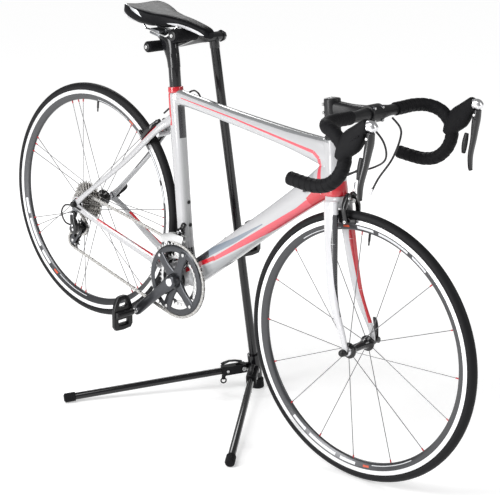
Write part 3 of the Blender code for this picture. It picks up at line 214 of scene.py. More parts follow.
def side_paint(name, base, bands):
    """Lacquer painted as a drawing in the bicycle's side view. A band is a colour, its
    straight lines (start, end, half width at each) and the side: 0 both, -1 or 1."""
    made = paint(name, base, **LACQUER)
    tree = made.node_tree
    shader = tree.nodes["Principled BSDF"]
    place = node(tree, "ShaderNodeTexCoord").outputs["Object"]
    split = node(tree, "ShaderNodeSeparateXYZ")
    link(tree, place, split.inputs[0])
    x, y, z = split.outputs
    colour = node(tree, "ShaderNodeRGB")
    colour.outputs[0].default_value = (*base, 1)
    current = colour.outputs[0]
    for tint, lines, side in bands:
        mask = 0.0
        for start, end, first, last in lines:
            mask = math_node(tree, "MAXIMUM", mask, segment_mask(tree, x, z, start, end, first, last))
        if side:
            right_side = math_node(tree, "GREATER_THAN", math_node(tree, "MULTIPLY", y, side), 0.0)
            mask = math_node(tree, "MULTIPLY", mask, right_side)
        mix = node(tree, "ShaderNodeMix", data_type="RGBA")
        link(tree, mask, mix.inputs["Factor"])
        link(tree, current, mix.inputs[6])
        mix.inputs[7].default_value = (*tint, 1)
        current = mix.outputs[2]
    link(tree, current, shader.inputs["Base Color"])
    return made


GLOSS = paint("gloss_black_paint", (0.006, 0.006, 0.007), 0.16, coat=0.5, grain=0.04, gloss=0.25)
SATIN = paint("satin_black", (0.007, 0.007, 0.008), 0.34, grain=0.06, gloss=0.35)
PLASTIC = paint("moulded_black", (0.008, 0.008, 0.009), 0.48, grain=0.08, bump=0.15, gloss=0.15)
RUBBER = paint("rubber", (0.007, 0.007, 0.008), 0.62, grain=0.08, bump=0.25, gloss=0.12)
TREAD = paint("tyre_rubber", (0.008, 0.008, 0.009), 0.5, grain=0.1, scale=120, bump=0.2, gloss=0.15)
FOAM = paint("foam", (0.005, 0.005, 0.006), 0.85, grain=0.08, scale=90, bump=0.9, sheen=0.04, gloss=0.1)
TAPE = paint("bar_tape", (0.006, 0.006, 0.007), 0.58, grain=0.1, scale=140, bump=0.5, gloss=0.12)
COVER = paint("saddle_cover", (0.004, 0.004, 0.005), 0.42, grain=0.06, scale=100, bump=0.15, gloss=0.08)
CHROME = paint("polished_steel", (0.78, 0.78, 0.78), 0.14, metal=1.0, grain=0.04)
STEEL = paint("brushed_steel", (0.6, 0.6, 0.6), 0.32, metal=1.0, grain=0.08)
SILVER = paint("machined_alloy", (0.74, 0.74, 0.76), 0.28, metal=1.0, grain=0.06)
COGS = paint("nickel_cogs", (0.4, 0.39, 0.375), 0.3, metal=1.0, grain=0.08)
GREY = paint("dark_anodised", (0.05, 0.052, 0.058), 0.3, metal=0.8, grain=0.06, coat=0.3)
MID_GREY = paint("mid_grey", (0.16, 0.165, 0.175), 0.35, metal=0.6, grain=0.06)
CARBON = paint("dark_post", (0.008, 0.008, 0.009), 0.22, coat=0.5, grain=0.05, gloss=0.2)
WHITE = paint("white_lacquer", (0.5, 0.5, 0.515), **LACQUER)
PALE = paint("silver_lacquer", (0.42, 0.43, 0.44), 0.25, metal=0.35, coat=0.6, grain=0.04)
RED = paint("red_lacquer", (0.42, 0.008, 0.016), 0.22, coat=0.8, grain=0.03)
ORANGE = paint("orange_accent", (0.55, 0.06, 0.015), 0.35, grain=0.04)


# ---------------------------------------------------------------- shapes
def smooth_line(points, steps):
    """Catmull-Rom points through tuples of any length."""
    points = [Vector(p) if len(p) <= 4 else p for p in points]
    points = [tuple(p) for p in points]
    line = []
    for i in range(len(points) - 1):
        a, b = points[max(i - 1, 0)], points[i]
        c, d = points[i + 1], points[min(i + 2, len(points) - 1)]
        for k in range(steps):
            t = k / steps
            line.append(
                tuple(
                    0.5
                    * (2 * q + (r - p) * t + (2 * p - 5 * q + 4 * r - s) * t * t
                       + (3 * q - p - 3 * r + s) * t**3)
                    for p, q, r, s in zip(a, b, c, d)
                )
            )
    return line + [points[-1]]


def made_object(name, mesh, matrix, material, sharp=35):
    """A finished object whose mesh lies in the row frame, except that the bicycle's
    pieces keep their own frame, so that their paint can be drawn in it."""
    data = bpy.data.meshes.new(name)
    bmesh.ops.recalc_face_normals(mesh, faces=mesh.faces)
    mesh.to_mesh(data)
    mesh.free()
    data.materials.append(material)
    if sharp is not None:
        data.shade_smooth()
        data.set_sharp_from_angle(angle=radians(sharp))
    made = bpy.data.objects.new(name, data)
    bpy.context.scene.collection.objects.link(made)
    made.matrix_world = matrix
    return made


def skin(mesh, rings, closed=False, caps=True):
    """Quads between rings of points, each ring closed on itself."""
    made = [[mesh.verts.new(point) for point in ring] for ring in rings]
    pairs = list(zip(made, made[1:]))
    if closed:
        pairs.append((made[-1], made[0]))
    for lower, upper in pairs:
        count = len(lower)
        for k in range(count):
            mesh.faces.new((lower[k], lower[(k + 1) % count], upper[(k + 1) % count], upper[k]))
    if caps and not closed:
        mesh.faces.new(made[0][::-1])
        mesh.faces.new(made[-1])


def lathe_into(mesh, profile, centre, axis, steps=48, soft=0):
    """A turned piece from (radius, height) points; radius 0 closes it."""
    if soft:
        profile = rounded(profile, soft)
    centre, axis = Vector(centre), Vector(axis).normalized()
    one = axis.orthogonal().normalized()
    two = axis.cross(one)
    loops = []
    for radius, height in profile:
        middle = centre + axis * height
        if radius <= 0:
            loops.append([mesh.verts.new(middle)])
        else:
            loops.append(
                [
                    mesh.verts.new(
                        middle + (one * cos(2 * pi * k / steps) + two * sin(2 * pi * k / steps)) * radius
                    )
                    for k in range(steps)
                ]
            )
    ring = profile[0][0] > 0 and profile[-1][0] > 0
    pairs = list(zip(loops, loops[1:])) + ([(loops[-1], loops[0])] if ring else [])
    for lower, upper in pairs:
        for k in range(steps):
            after = (k + 1) % steps
            if len(lower) == 1:
                mesh.faces.new((lower[0], upper[after], upper[k]))
            elif len(upper) == 1:
                mesh.faces.new((lower[k], lower[after], upper[0]))
            else:
                mesh.faces.new((lower[k], lower[after], upper[after], upper[k]))


def rounded(profile, size=0.001, steps=3):
    """The profile with its inner corners rounded."""
    points = [Vector(p) for p in profile]
    line = [tuple(points[0])]
    for before, corner, after in zip(points, points[1:], points[2:]):
        inward, outward = before - corner, after - corner
        reach = min(size, inward.length * 0.45, outward.length * 0.45)
        if reach < 1e-6:
            line.append(tuple(corner))
            continue
        start = corner + inward.normalized() * reach
        end = corner + outward.normalized() * reach
        for k in range(steps + 1):
            t = k / steps
            line.append(tuple(start * (1 - t) ** 2 + corner * 2 * t * (1 - t) + end * t * t))
    return line + [tuple(points[-1])]


def lathe(name, profile, centre, axis, material, matrix=BIKE, steps=48, soft=0.0008):
    mesh = bmesh.new()
    lathe_into(mesh, profile, centre, axis, steps, soft)
    return made_object(name, mesh, matrix, material)


def tube_into(mesh, points, radius, sides=16, closed=False, caps=True):
    """A round bar along points; radius is a number or one for each point."""
    points = [Vector(p) for p in points]
    count = len(points)
    radii = radius if isinstance(radius, (list, tuple)) else [radius] * count
    rings = []
    up = None
    for i, point in enumerate(points):
        if closed:
            ahead = (points[(i + 1) % count] - points[i - 1]).normalized()
        else:
            ahead = (points[min(i + 1, count - 1)] - points[max(i - 1, 0)]).normalized()
        if up is None:
            up = ahead.orthogonal().normalized()
        up = (up - ahead * up.dot(ahead)).normalized()
        side = ahead.cross(up)
        rings.append(
            [
                point + (up * cos(2 * pi * k / sides) + side * sin(2 * pi * k / sides)) * radii[i]
                for k in range(sides)
            ]
        )
    skin(mesh, rings, closed, caps)


def bar(name, points, radius, material, sides=16, steps=8):
    """A round bar along a smooth line through a few points."""
    mesh = bmesh.new()
    tube_into(mesh, smooth_line([tuple(Vector(p)) for p in points], steps), radius, sides)
    return made_object(name, mesh, BIKE, material)


def rod_into(mesh, start, end, radius, sides=24, soft=0.0006):
    start, end = Vector(start), Vector(end)
    length = (end - start).length
    profile = rounded([(0, 0), (radius, 0), (radius, length), (0, length)], soft)
    lathe_into(mesh, profile, start, end - start, sides)


def loft_into(mesh, stations, side=ACROSS, sides=40, power=2.4, steps=8, heading=None):
    """A tube of changing section; a station is x, y, z, half depth, half width."""
    line = smooth_line(stations, steps)
    places = [Vector(s[:3]) for s in line]
    rings = []
    for i, station in enumerate(line):
        ahead = places[min(i + 1, len(places) - 1)] - places[max(i - 1, 0)]
        ahead = Vector(heading) if heading else ahead.normalized()
        across = Vector(side) - ahead * ahead.dot(Vector(side))
        across.normalize()
        deep = ahead.cross(across)
        ring = []
        for k in range(sides):
            angle = 2 * pi * (k + 0.5) / sides
            c, s = cos(angle), sin(angle)
            u = copysign(abs(c) ** (2 / power), c) * station[3]
            v = copysign(abs(s) ** (2 / power), s) * station[4]
            ring.append(places[i] + deep * u + across * v)
        rings.append(ring)
    first, last = rings[0], rings[-1]

    def shrunk(ring, share, shift):
        middle = sum(ring, Vector()) / len(ring)
        return [middle + (p - middle) * share + shift for p in ring]

    out_first = (places[0] - places[1]).normalized() * min(line[0][3], line[0][4])
    out_last = (places[-1] - places[-2]).normalized() * min(line[-1][3], line[-1][4])
    starts = [shrunk(first, 0.55, out_first * 0.24), shrunk(first, 0.86, out_first * 0.15)]
    ends = [shrunk(last, 0.86, out_last * 0.15), shrunk(last, 0.55, out_last * 0.24)]
    skin(mesh, starts + rings + ends)


def along(start, direction, distance, *sizes):
    return (*(Vector(start) + Vector(direction) * distance), *sizes)


def block_into(mesh, centre, size, turn=None, soft=0.001):
    """A box with rounded edges, turned by a 3x3 matrix."""
    made = bmesh.ops.create_cube(mesh, size=1)
    turn = Matrix.Identity(3) if turn is None else turn
    shape = Matrix.Translation(centre) @ turn.to_4x4() @ Matrix.Diagonal((*size, 1))
    bmesh.ops.transform(mesh, matrix=shape, verts=made["verts"])
    edges = {edge for vert in made["verts"] for edge in vert.link_edges}
    bmesh.ops.bevel(mesh, geom=list(edges), offset=soft, segments=2, profile=0.5, affect="EDGES")


def flat_into(mesh, outlines, inner_y, outer_y, soft=0.0004):
    """A flat plate in the side plane with rounded edges; later outlines are holes."""
    data = bpy.data.curves.new("flat", "CURVE")
    data.dimensions = "2D"
    data.fill_mode = "BOTH"
    soft = min(soft, abs(outer_y - inner_y) * 0.45)
    data.extrude = abs(outer_y - inner_y) / 2 - soft
    data.bevel_depth = soft
    data.bevel_resolution = 1
    data.offset = -soft
    data.resolution_u = data.render_resolution_u = 1
    for outline in outlines:
        spline = data.splines.new("POLY")
        spline.points.add(len(outline) - 1)
        spline.use_cyclic_u = True
        for place, (x, z) in zip(spline.points, outline):
            place.co = (x, z, 0, 1)
    item = bpy.data.objects.new("flat", data)
    bpy.context.scene.collection.objects.link(item)
    bpy.context.view_layer.update()
    flat = bpy.data.meshes.new_from_object(item.evaluated_get(bpy.context.evaluated_depsgraph_get()))
    flat.transform(Matrix.Translation((0, (inner_y + outer_y) / 2, 0)) @ Matrix.Rotation(pi / 2, 4, "X"))
    bpy.data.objects.remove(item)
    mesh.from_mesh(flat)
    bmesh.ops.remove_doubles(mesh, verts=mesh.verts, dist=1e-6)


def flat(name, outlines, inner_y, outer_y, material):
    mesh = bmesh.new()
    flat_into(mesh, outlines, inner_y, outer_y)
    return made_object(name, mesh, BIKE, material)


def circle(centre, radius, sides=32, start=0.0):
    return [
        (
            centre[0] + radius * cos(start + 2 * pi * k / sides),
            centre[1] + radius * sin(start + 2 * pi * k / sides),
        )
        for k in range(sides)
    ]


def toothed(centre, teeth, depth=0.0034, turn=0.0):
    """The outline of a sprocket: a rounded valley for each roller."""
    pitch = CHAIN_PITCH / (2 * sin(pi / teeth))
    outline = []
    for k in range(teeth):
        for share, out in (
            (0.0, -0.004), (0.2, -0.0034), (0.34, -0.0005), (0.45, depth), (0.55, depth), (0.66, -0.0005),
            (0.8, -0.0034),
        ):
            angle = turn + 2 * pi * (k + share) / teeth
            radius = pitch + out
            outline.append((centre[0] + radius * cos(angle), centre[1] + radius * sin(angle)))
    return outline


def level(item):
    """Turns the mesh of a large round piece in place of the object, so that its box stays tight."""
    item.data.transform(Matrix.Rotation(PITCH, 4, "Y"))
    item.matrix_world = Matrix.Translation(REAR)
    return item


def keep(item, body, *nodes):
    """The piece rides on that body, in place of those nodes."""
    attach(item, body)
    if nodes:
        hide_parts(*nodes)
    return item


def put(name, mesh, material, body, *nodes, matrix=BIKE):
    """The mesh as a piece of its own on this body, in place of these nodes."""
    return keep(made_object(name, mesh, matrix, material), body, *nodes)


# ---------------------------------------------------------------- wheels
def rim_side(radius):
    """Half width of the rim at a radius."""
    track = RIM_RADIUS - 0.011
    inner = RIM_RADIUS - 0.026
    if radius >= track:
        return 0.0103
    share = (radius - inner) / (track - inner)
    return 0.0046 + (0.0103 - 0.0046) * max(share, 0) ** 0.8


def rim_marks(mesh, centre, marks, lift=0.00025):
    """Painted arcs on both sides of the rim: (first angle, last angle, inner, outer)."""
    for first, last, low, high in marks:
        count = max(2, int(abs(last - first) / radians(2)))
        for side in (-1, 1):
            lines = []
            for k in range(count + 1):
                angle = first + (last - first) * k / count
                line = []
                for step in range(4):
                    radius = low + (high - low) * step / 3
                    y = side * (rim_side(radius) + lift)
                    line.append(
                        mesh.verts.new(centre + Vector((radius * cos(angle), y, radius * sin(angle))))
                    )
                lines.append(line)
            for one, two in zip(lines, lines[1:]):
                for k in range(3):
                    mesh.faces.new((one[k], one[k + 1], two[k + 1], two[k]))


def wheel(name, hub, spokes, hub_profile, turn):
    """Tyre, rim, spokes and hub of one wheel; spokes are (hub angle, y, radius, rim angle)."""
    axis = ACROSS
    centre = WHEEL_RADIUS - TYRE_RADIUS
    tyre = []
    for k in range(27):
        angle = radians(-128 + 256 * k / 26)
        swell = 1 + 0.02 * cos(angle) ** 8
        tyre.append((centre + TYRE_RADIUS * swell * cos(angle), TYRE_RADIUS * sin(angle)))
    keep(
        level(lathe(name + "_tread", tyre, hub, axis, TREAD, steps=160, soft=0)), name + "_wheel",
        name + "_tyre",
    )

    heights = [RIM_RADIUS - 0.011 - 0.015 * k / 6 for k in range(7)]
    flank = [(radius, rim_side(radius)) for radius in heights]
    nose = [(RIM_RADIUS - 0.0275, 0.003), (RIM_RADIUS - 0.0282, 0.0)]
    half = [(RIM_RADIUS - 0.0008, 0.0085), (RIM_RADIUS - 0.0008, 0.0101), *flank, *nose]
    other = [(radius, -y) for radius, y in reversed(half[:-1])]
    keep(
        level(lathe(name + "_rim_body", half + other, hub, axis, RIM_PAINT, steps=160, soft=0)),
        name + "_wheel", name + "_rim",
    )
    mesh = bmesh.new()
    for side in (-1, 1):
        track = [
            (RIM_RADIUS - 0.0006, side * 0.009), (RIM_RADIUS - 0.0006, side * 0.0106),
            (RIM_RADIUS - 0.0108, side * 0.0106), (RIM_RADIUS - 0.0112, side * 0.0098),
        ]
        lathe_into(mesh, track, hub, axis, 160)
    keep(level(made_object(name + "_brake_track", mesh, BIKE, TRACK)), name + "_wheel")

    low, high = RIM_RADIUS - 0.0225, RIM_RADIUS - 0.0135
    pale, warm = bmesh.new(), bmesh.new()
    groups = []
    for start in (0.0, pi):
        base = turn + start
        for width, gap in ((0.16, 0.05), (0.3, 0.05), (0.16, 0.05)):
            groups.append((base, base + width, low + 0.0012, high - 0.0008))
            base += width + gap
        rim_marks(warm, hub, [(base + 0.03, base + 0.09, low + 0.002, high - 0.002)])
        groups.append((base + 0.12, base + 0.55, low - 0.0005, low + 0.0012))
    rim_marks(pale, hub, groups)
    keep(level(made_object(name + "_rim_marks", pale, BIKE, MARKS)), name + "_wheel")
    keep(level(made_object(name + "_rim_accents", warm, BIKE, ORANGE)), name + "_wheel")

    wires, nipples = bmesh.new(), bmesh.new()
    inner = RIM_RADIUS - 0.028
    for hub_angle, y, radius, rim_angle in spokes:
        start = hub + Vector((radius * cos(hub_angle), y, radius * sin(hub_angle)))
        end = hub + Vector((inner * cos(rim_angle), y * 0.04, inner * sin(rim_angle)))
        tube_into(wires, [start, start.lerp(end, 0.5), end], 0.001, 8)
        back = (start - end).normalized()
        rod_into(nipples, end - back * 0.002, end + back * 0.0075, 0.0019, 10, 0.0003)
        rod_into(wires, start - Vector((0, 0.003, 0)), start + Vector((0, 0.003, 0)), 0.0017, 8, 0.0003)
    keep(level(made_object(name + "_spokes", wires, BIKE, SPOKE)), name + "_wheel")
    keep(level(made_object(name + "_nipples", nipples, BIKE, RED)), name + "_wheel")

    keep(lathe(name + "_hub_shell", hub_profile, hub, axis, GLOSS), name + "_wheel", name + "_hub")
    ends = bmesh.new()
    reach = max(abs(height) for _, height in hub_profile)
    for side in (-1, 1):
        lathe_into(
            ends,
            [
                (0.0102, side * (reach - 0.012)), (0.0125, side * (reach - 0.011)),
                (0.012, side * (reach - 0.004)), (0.0092, side * (reach - 0.0005)),
                (0.005, side * (reach - 0.0005)), (0.005, side * (reach - 0.012)),
            ],
            hub, axis, 32, 0.0006,
        )
    put(name + "_hub_caps", ends, SILVER, name + "_wheel")
    valve = bmesh.new()
    angle = radians(97)
    out = Vector((cos(angle), 0, sin(angle)))
    rod_into(valve, hub + out * (inner + 0.004), hub + out * (inner - 0.02), 0.003, 12)
    rod_into(valve, hub + out * (inner - 0.018), hub + out * (inner - 0.03), 0.0021, 12)
    put(name + "_valve", valve, SATIN, name + "_wheel")


RIM_PAINT = paint("rim_dark_grey", (0.055, 0.056, 0.06), 0.3, metal=0.6, coat=0.3)
SPOKE = paint("spoke_steel", (0.16, 0.16, 0.165), 0.35, metal=0.7)
TRACK = paint("brake_track", (0.86, 0.86, 0.87), 0.3, metal=0.75, grain=0.05, scale=200)
MARKS = paint("pale_marks", (0.62, 0.63, 0.65), 0.35)

FRONT_SPOKES = []
for k in range(16):
    a = 2 * pi * (k + 0.5) / 16
    FRONT_SPOKES.append((a, 0.0355 if k % 2 else -0.0355, 0.0155, a))
FRONT_PROFILE = [
    (0.009, 0.0497), (0.0092, 0.044), (0.012, 0.04), (0.0195, 0.0385), (0.0195, 0.0335), (0.0125, 0.029),
    (0.01, 0.018), (0.0098, 0.0),
]
wheel(
    "front", FRONT_HUB, FRONT_SPOKES, FRONT_PROFILE + [(r, -h) for r, h in reversed(FRONT_PROFILE[:-1])],
    radians(62),
)
REAR_SPOKES = []
for k in range(7):
    a = 2 * pi * k / 7 + 0.2
    REAR_SPOKES.append((a, 0.035, 0.02, a))
    for side in (-1, 1):
        REAR_SPOKES.append((a - side * 1.15, -0.0185, 0.0265, a + side * 0.085))
wheel(
    "rear", REAR_HUB, REAR_SPOKES,
    [
        (0.009, 0.064), (0.0095, 0.056), (0.013, 0.042), (0.024, 0.0385), (0.024, 0.033), (0.016, 0.027),
        (0.015, 0.0), (0.018, -0.012), (0.029, -0.016), (0.029, -0.0198), (0.016, -0.0205), (0.016, -0.06),
        (0.009, -0.064),
    ],
    radians(20),
)


def quick_release(name, joint, parent, hub, reach, body_nodes):
    """The lever with its cam on the left, and the nut on the right."""
    pivot = in_bike(joint)
    across = bike_axis(joint)
    direction = Vector(ACROSS).cross(across).normalized()
    mesh = bmesh.new()
    rod_into(mesh, pivot - across * 0.0085, pivot + across * 0.0085, 0.0078, 24, 0.0012)
    loft_into(
        mesh,
        [
            along(pivot, direction, 0.004, 0.005, 0.0062),
            along(pivot + Vector((0, 0.003, 0)), direction, 0.016, 0.003, 0.006),
            along(pivot + Vector((0, 0.004, 0)), direction, 0.032, 0.0024, 0.007),
            along(pivot + Vector((0, 0.003, 0)), direction, 0.048, 0.0023, 0.0064),
            along(pivot, direction, 0.056, 0.002, 0.004),
        ],
        side=across, sides=24,
    )
    put(name + "_lever", mesh, GLOSS, body_nodes[0], body_nodes[1])
    mesh = bmesh.new()
    lathe_into(
        mesh,
        [(0, pivot.y - 0.0082), (0.0085, pivot.y - 0.0082), (0.0095, reach + 0.0003), (0, reach + 0.0003)],
        mid_plane(hub), ACROSS, 32, 0.0008,
    )
    lathe_into(
        mesh,
        [
            (0, -reach - 0.0003), (0.0095, -reach - 0.0003), (0.008, -reach - 0.009),
            (0.0045, -reach - 0.012), (0, -reach - 0.012),
        ],
        mid_plane(hub), ACROSS, 32, 0.0008,
    )
    put(name + "_nuts", mesh, SATIN, parent)


quick_release("front_qr", "front_qr_open", "steering", FRONT_HUB, 0.0585, ("front_qr", "front_qr_lever"))
quick_release("rear_qr", "rear_qr_open", "bike", REAR_HUB, 0.0735, ("rear_qr", "rear_qr_lever"))


# ---------------------------------------------------------------- frame
def paint_lines(*points):
    """Straight lines through (x, z, half width) points."""
    return [((a[0], a[1]), (b[0], b[1]), a[2], b[2]) for a, b in zip(points, points[1:])]


REDDISH = (0.46, 0.012, 0.022)
PALE_RED = (0.55, 0.06, 0.085)
GREYISH = (0.2, 0.205, 0.21)
SILVERY = (0.3, 0.31, 0.32)
INK = (0.02, 0.02, 0.024)
SLATE = (0.16, 0.19, 0.23)


def rear_edge(below, half):
    """A paint point on the rear edge of the seat tube, below its top."""
    place = SEAT_TOP - SEAT_UP * below + SEAT_BACK * 0.0125
    return place.x, place.z, half


FRAME_PAINT = side_paint(
    "frame_lacquer", (0.4, 0.4, 0.41),
    [
        (
            GREYISH,
            paint_lines(
                (0.268, 0.427, 0.012), (0.48, 0.44, 0.0125), (0.66, 0.456, 0.013), (0.75, 0.468, 0.013),
                (0.792, 0.476, 0.013),
            ),
            0,
        ),
        (
            SILVERY,
            paint_lines(
                (0.3, 0.387, 0.007), (0.52, 0.396, 0.008), (0.69, 0.395, 0.011), (0.745, 0.385, 0.015),
                (0.758, 0.356, 0.009), (0.764, 0.33, 0.005),
            ),
            0,
        ),
        (
            PALE_RED,
            paint_lines(
                (0.29, 0.4065, 0.0012), (0.48, 0.4175, 0.0018), (0.66, 0.4225, 0.003),
                (0.75, 0.425, 0.0042), (0.769, 0.415, 0.0048), (0.79, 0.345, 0.006),
            ),
            0,
        ),
        (
            PALE_RED,
            paint_lines(
                (0.5, 0.033, 0.005), (0.62, 0.148, 0.0085), (0.74, 0.264, 0.011), (0.775, 0.301, 0.015),
            ),
            0,
        ),
        (
            SILVERY,
            paint_lines(
                (0.44, -0.052, 0.017), (0.56, 0.056, 0.0135), (0.74, 0.233, 0.01), (0.77, 0.263, 0.004),
            ),
            0,
        ),
        (SLATE, paint_lines((0.455, 0.022, 0.011), (0.56, 0.113, 0.0065), (0.64, 0.191, 0.0015)), 0),
        (INK, paint_lines((0.385, -0.015, 0.03), (0.44, 0.012, 0.017), (0.482, 0.041, 0.008)), 0),
        (REDDISH, paint_lines((0.412, -0.036, 0.006), (0.505, 0.04, 0.0055)), 0),
        ((0.36, 0.365, 0.37), paint_lines((0.389, 0.045, 0.0055), (0.279, 0.403, 0.005)), 0),
        (INK, paint_lines((0.3085, 0.3, 0.003), (0.283, 0.384, 0.003)), 0),
        (REDDISH, paint_lines(rear_edge(0.004, 0.0085), rear_edge(0.102, 0.0085)), 0),
        (
            REDDISH,
            paint_lines(
                (0.768, 0.298, 0.015), (0.798, 0.332, 0.023), (0.828, 0.352, 0.024), (0.87, 0.364, 0.024),
            ),
            0,
        ),
    ],
)


def seat_stations():
    sizes = (
        (-0.012, 0.023, 0.03), (0.04, 0.02, 0.025), (0.12, 0.0195, 0.0195),
        (SEAT_TUBE * 0.62, 0.021, 0.0185), (SEAT_TUBE - 0.04, 0.0205, 0.019),
        (SEAT_TUBE - 0.018, 0.0192, 0.0192),
    )
    return [along(BB, SEAT_UP, *size) for size in sizes]


def smooth_body(name, build, voxel, rounds, material):
    """One blended skin round the shapes that build adds to a mesh."""
    mesh = bmesh.new()
    build(mesh)
    body = made_object(name, mesh, BIKE, material, sharp=None)
    remesh = body.modifiers.new("skin", "REMESH")
    remesh.mode = "VOXEL"
    remesh.voxel_size = voxel
    smooth = body.modifiers.new("smooth", "SMOOTH")
    smooth.factor = 0.5
    smooth.iterations = rounds
    bpy.context.view_layer.update()
    graph = bpy.context.evaluated_depsgraph_get()
    data = bpy.data.meshes.new_from_object(body.evaluated_get(graph))
    body.modifiers.clear()
    body.data = data
    data.shade_smooth()
    return body


def frame_shape(mesh):
    rear = SEAT_TOP - SEAT_UP * 0.024
    front = HEAD_TOP - STEER_UP * 0.04
    level = (front - rear).normalized()
    span = (front - rear).length
    drop = Vector((0, 0, 1))
    loft_into(
        mesh,
        [
            along(rear, level, 0.002, 0.0205, 0.015), along(rear, level, 0.06, 0.0182, 0.0168),
            along(rear, level, span * 0.4, 0.0187, 0.0192), along(rear, level, span * 0.72, 0.024, 0.0208),
            along(rear - drop * 0.002, level, span - 0.05, 0.032, 0.0212),
            along(rear - drop * 0.004, level, span - 0.004, 0.038, 0.0205),
        ],
        power=2.8,
    )
    low = BB + Vector((0.01, 0, 0.004))
    high = CROWN + STEER_UP * 0.05
    climb = (high - low).normalized()
    reach = (high - low).length
    loft_into(
        mesh,
        [
            along(low, climb, 0.005, 0.029, 0.029), along(low, climb, 0.045, 0.0315, 0.029),
            along(low, climb, reach * 0.25, 0.0315, 0.0272), along(low, climb, reach * 0.6, 0.0305, 0.0255),
            along(low, climb, reach * 0.85, 0.035, 0.0245),
            along(low, climb, reach - 0.006, 0.0425, 0.0225),
        ],
        power=3.0,
    )
    loft_into(mesh, seat_stations())
    rod_into(mesh, (BB.x, -0.034, BB.z), (BB.x, 0.034, BB.z), 0.024, 40, 0.002)
    lathe_into(
        mesh,
        [
            (0, 0.001), (0.0283, 0.001), (0.028, 0.016), (0.0252, 0.05), (0.0233, 0.098), (0.0233, 0.138),
            (0, 0.138),
        ],
        CROWN, STEER_UP, 48,
    )


FRAME_BODY = smooth_body("painted_frame", frame_shape, 0.0022, 8, FRAME_PAINT)
keep(FRAME_BODY, "bike", "head_tube", "top_tube", "down_tube", "seat_tube")
keep(
    lathe(
        "frame_collar", [(0.0162, 0.0), (0.0203, 0.0), (0.0207, 0.004), (0.0203, 0.0145), (0.0162, 0.0155)],
        SEAT_TOP - SEAT_UP * 0.0157, SEAT_UP, RED,
    ),
    "bike", "seat_collar",
)

STAY_PAINTS = {}
for side_name, side in (("right", -1), ("left", 1)):
    stripes = [(INK, paint_lines((0.225, 0.283, 0.0025), (0.1, 0.128, 0.0022)), side)] if side > 0 else []
    red_lines = paint_lines((0.335, -0.048, 0.0042), (0.2, -0.026, 0.004), (0.09, -0.012, 0.0034))
    # The left stays, on the far side, take a darker copy of the same lacquer (0.34 in place of 0.4):
    # painted shade, not a different paint.
    STAY_PAINTS[side] = side_paint(
        side_name + "_stay_lacquer", (0.4, 0.4, 0.41) if side < 0 else (0.34, 0.345, 0.355),
        stripes + [
            (REDDISH, red_lines, side if side < 0 else 0),
            (
                REDDISH, paint_lines((0.0, 0.018, 0.0036), (0.15, 0.205, 0.0036), (0.222, 0.308, 0.005)),
                side if side < 0 else 0,
            ),
        ],
    )
    dropout_y = side * 0.0695
    stay_top = SEAT_TOP - SEAT_UP * 0.094
    mesh = bmesh.new()
    loft_into(
        mesh,
        [
            (stay_top.x - 0.006, side * 0.011, stay_top.z + 0.01, 0.0125, 0.0068),
            (stay_top.x - 0.026, side * 0.013, stay_top.z - 0.008, 0.0118, 0.0068),
            (stay_top.x - 0.06, side * 0.024, stay_top.z - 0.05, 0.0092, 0.0062),
            (stay_top.x - 0.135, side * 0.041, stay_top.z - 0.158, 0.0076, 0.0052),
            (0.04, side * 0.065, 0.05, 0.0071, 0.0046), (0.006, dropout_y, 0.008, 0.0095, 0.004),
        ],
        sides=28,
    )
    loft_into(
        mesh,
        [
            (BB.x - 0.015, side * 0.024, BB.z + 0.003, 0.0152, 0.0087),
            (BB.x - 0.075, side * 0.0265, BB.z + 0.008, 0.0132, 0.0072),
            (BB.x * 0.5, side * 0.042, BB.z * 0.62, 0.0112, 0.0062),
            (0.06, side * 0.066, -0.014, 0.0092, 0.0047), (0.004, dropout_y, -0.004, 0.0098, 0.004),
        ],
        sides=28,
    )
    put(side_name + "_stay_tubes", mesh, STAY_PAINTS[side], "bike", side_name + "_stays")
    mesh = bmesh.new()
    flat_into(mesh, [circle((0, 0), 0.0125, 28)], dropout_y - 0.0038, dropout_y + 0.0038)
    if side < 0:
        hanger = [
            (0.01, 0.004), (-0.01, 0.002), (-0.0095, -0.014), (-0.003, -0.03), (0.01, -0.031),
            (0.012, -0.014),
        ]
        flat_into(mesh, [hanger], side * 0.0664, side * 0.0726)
    put(side_name + "_dropout", mesh, MID_GREY, "bike")
mesh = bmesh.new()
bridge = STAY_UP * 0.366 + STAY_BACK * 0.004
rod_into(mesh, bridge - Vector((0, 0.022, 0)), bridge + Vector((0, 0.022, 0)), 0.0065)
loft_into(
    mesh,
    [
        (BB.x - 0.062, -0.022, BB.z + 0.006, 0.011, 0.006), (BB.x - 0.06, 0, BB.z + 0.006, 0.011, 0.006),
        (BB.x - 0.062, 0.022, BB.z + 0.006, 0.011, 0.006),
    ],
    side=(1, 0, 0), sides=20,
)
put("stay_bridges", mesh, WHITE, "bike")

# ---------------------------------------------------------------- seat
POST = bmesh.new()
lathe_into(
    POST, [(0, -0.004), (0.0158, -0.004), (0.0158, 0.086), (0, 0.086)], SEAT_TOP, SEAT_UP, 48, 0.0004,
)
stations = []
for height, front, rear, half_width in (
    (0.05, 0.0156, 0.0156, 0.0156), (0.07, 0.0156, 0.018, 0.0156), (0.09, 0.0155, 0.0262, 0.0152),
    (0.105, 0.015, 0.0335, 0.0147), (0.12, 0.011, 0.04, 0.0142), (0.1345, -0.004, 0.0545, 0.0132),
):
    stations.append(
        along(SEAT_TOP + SEAT_BACK * ((rear - front) / 2), SEAT_UP, height, (rear + front) / 2, half_width)
    )
loft_into(POST, stations, heading=SEAT_UP, power=2.5)
put("post", POST, CARBON, "saddle", "seatpost")
CLAMP = SEAT_TOP + SEAT_UP * 0.144 + SEAT_BACK * 0.04
mesh = bmesh.new()
block_into(mesh, CLAMP + Vector((0.002, 0, -0.0045)), (0.038, 0.052, 0.0075), soft=0.002)
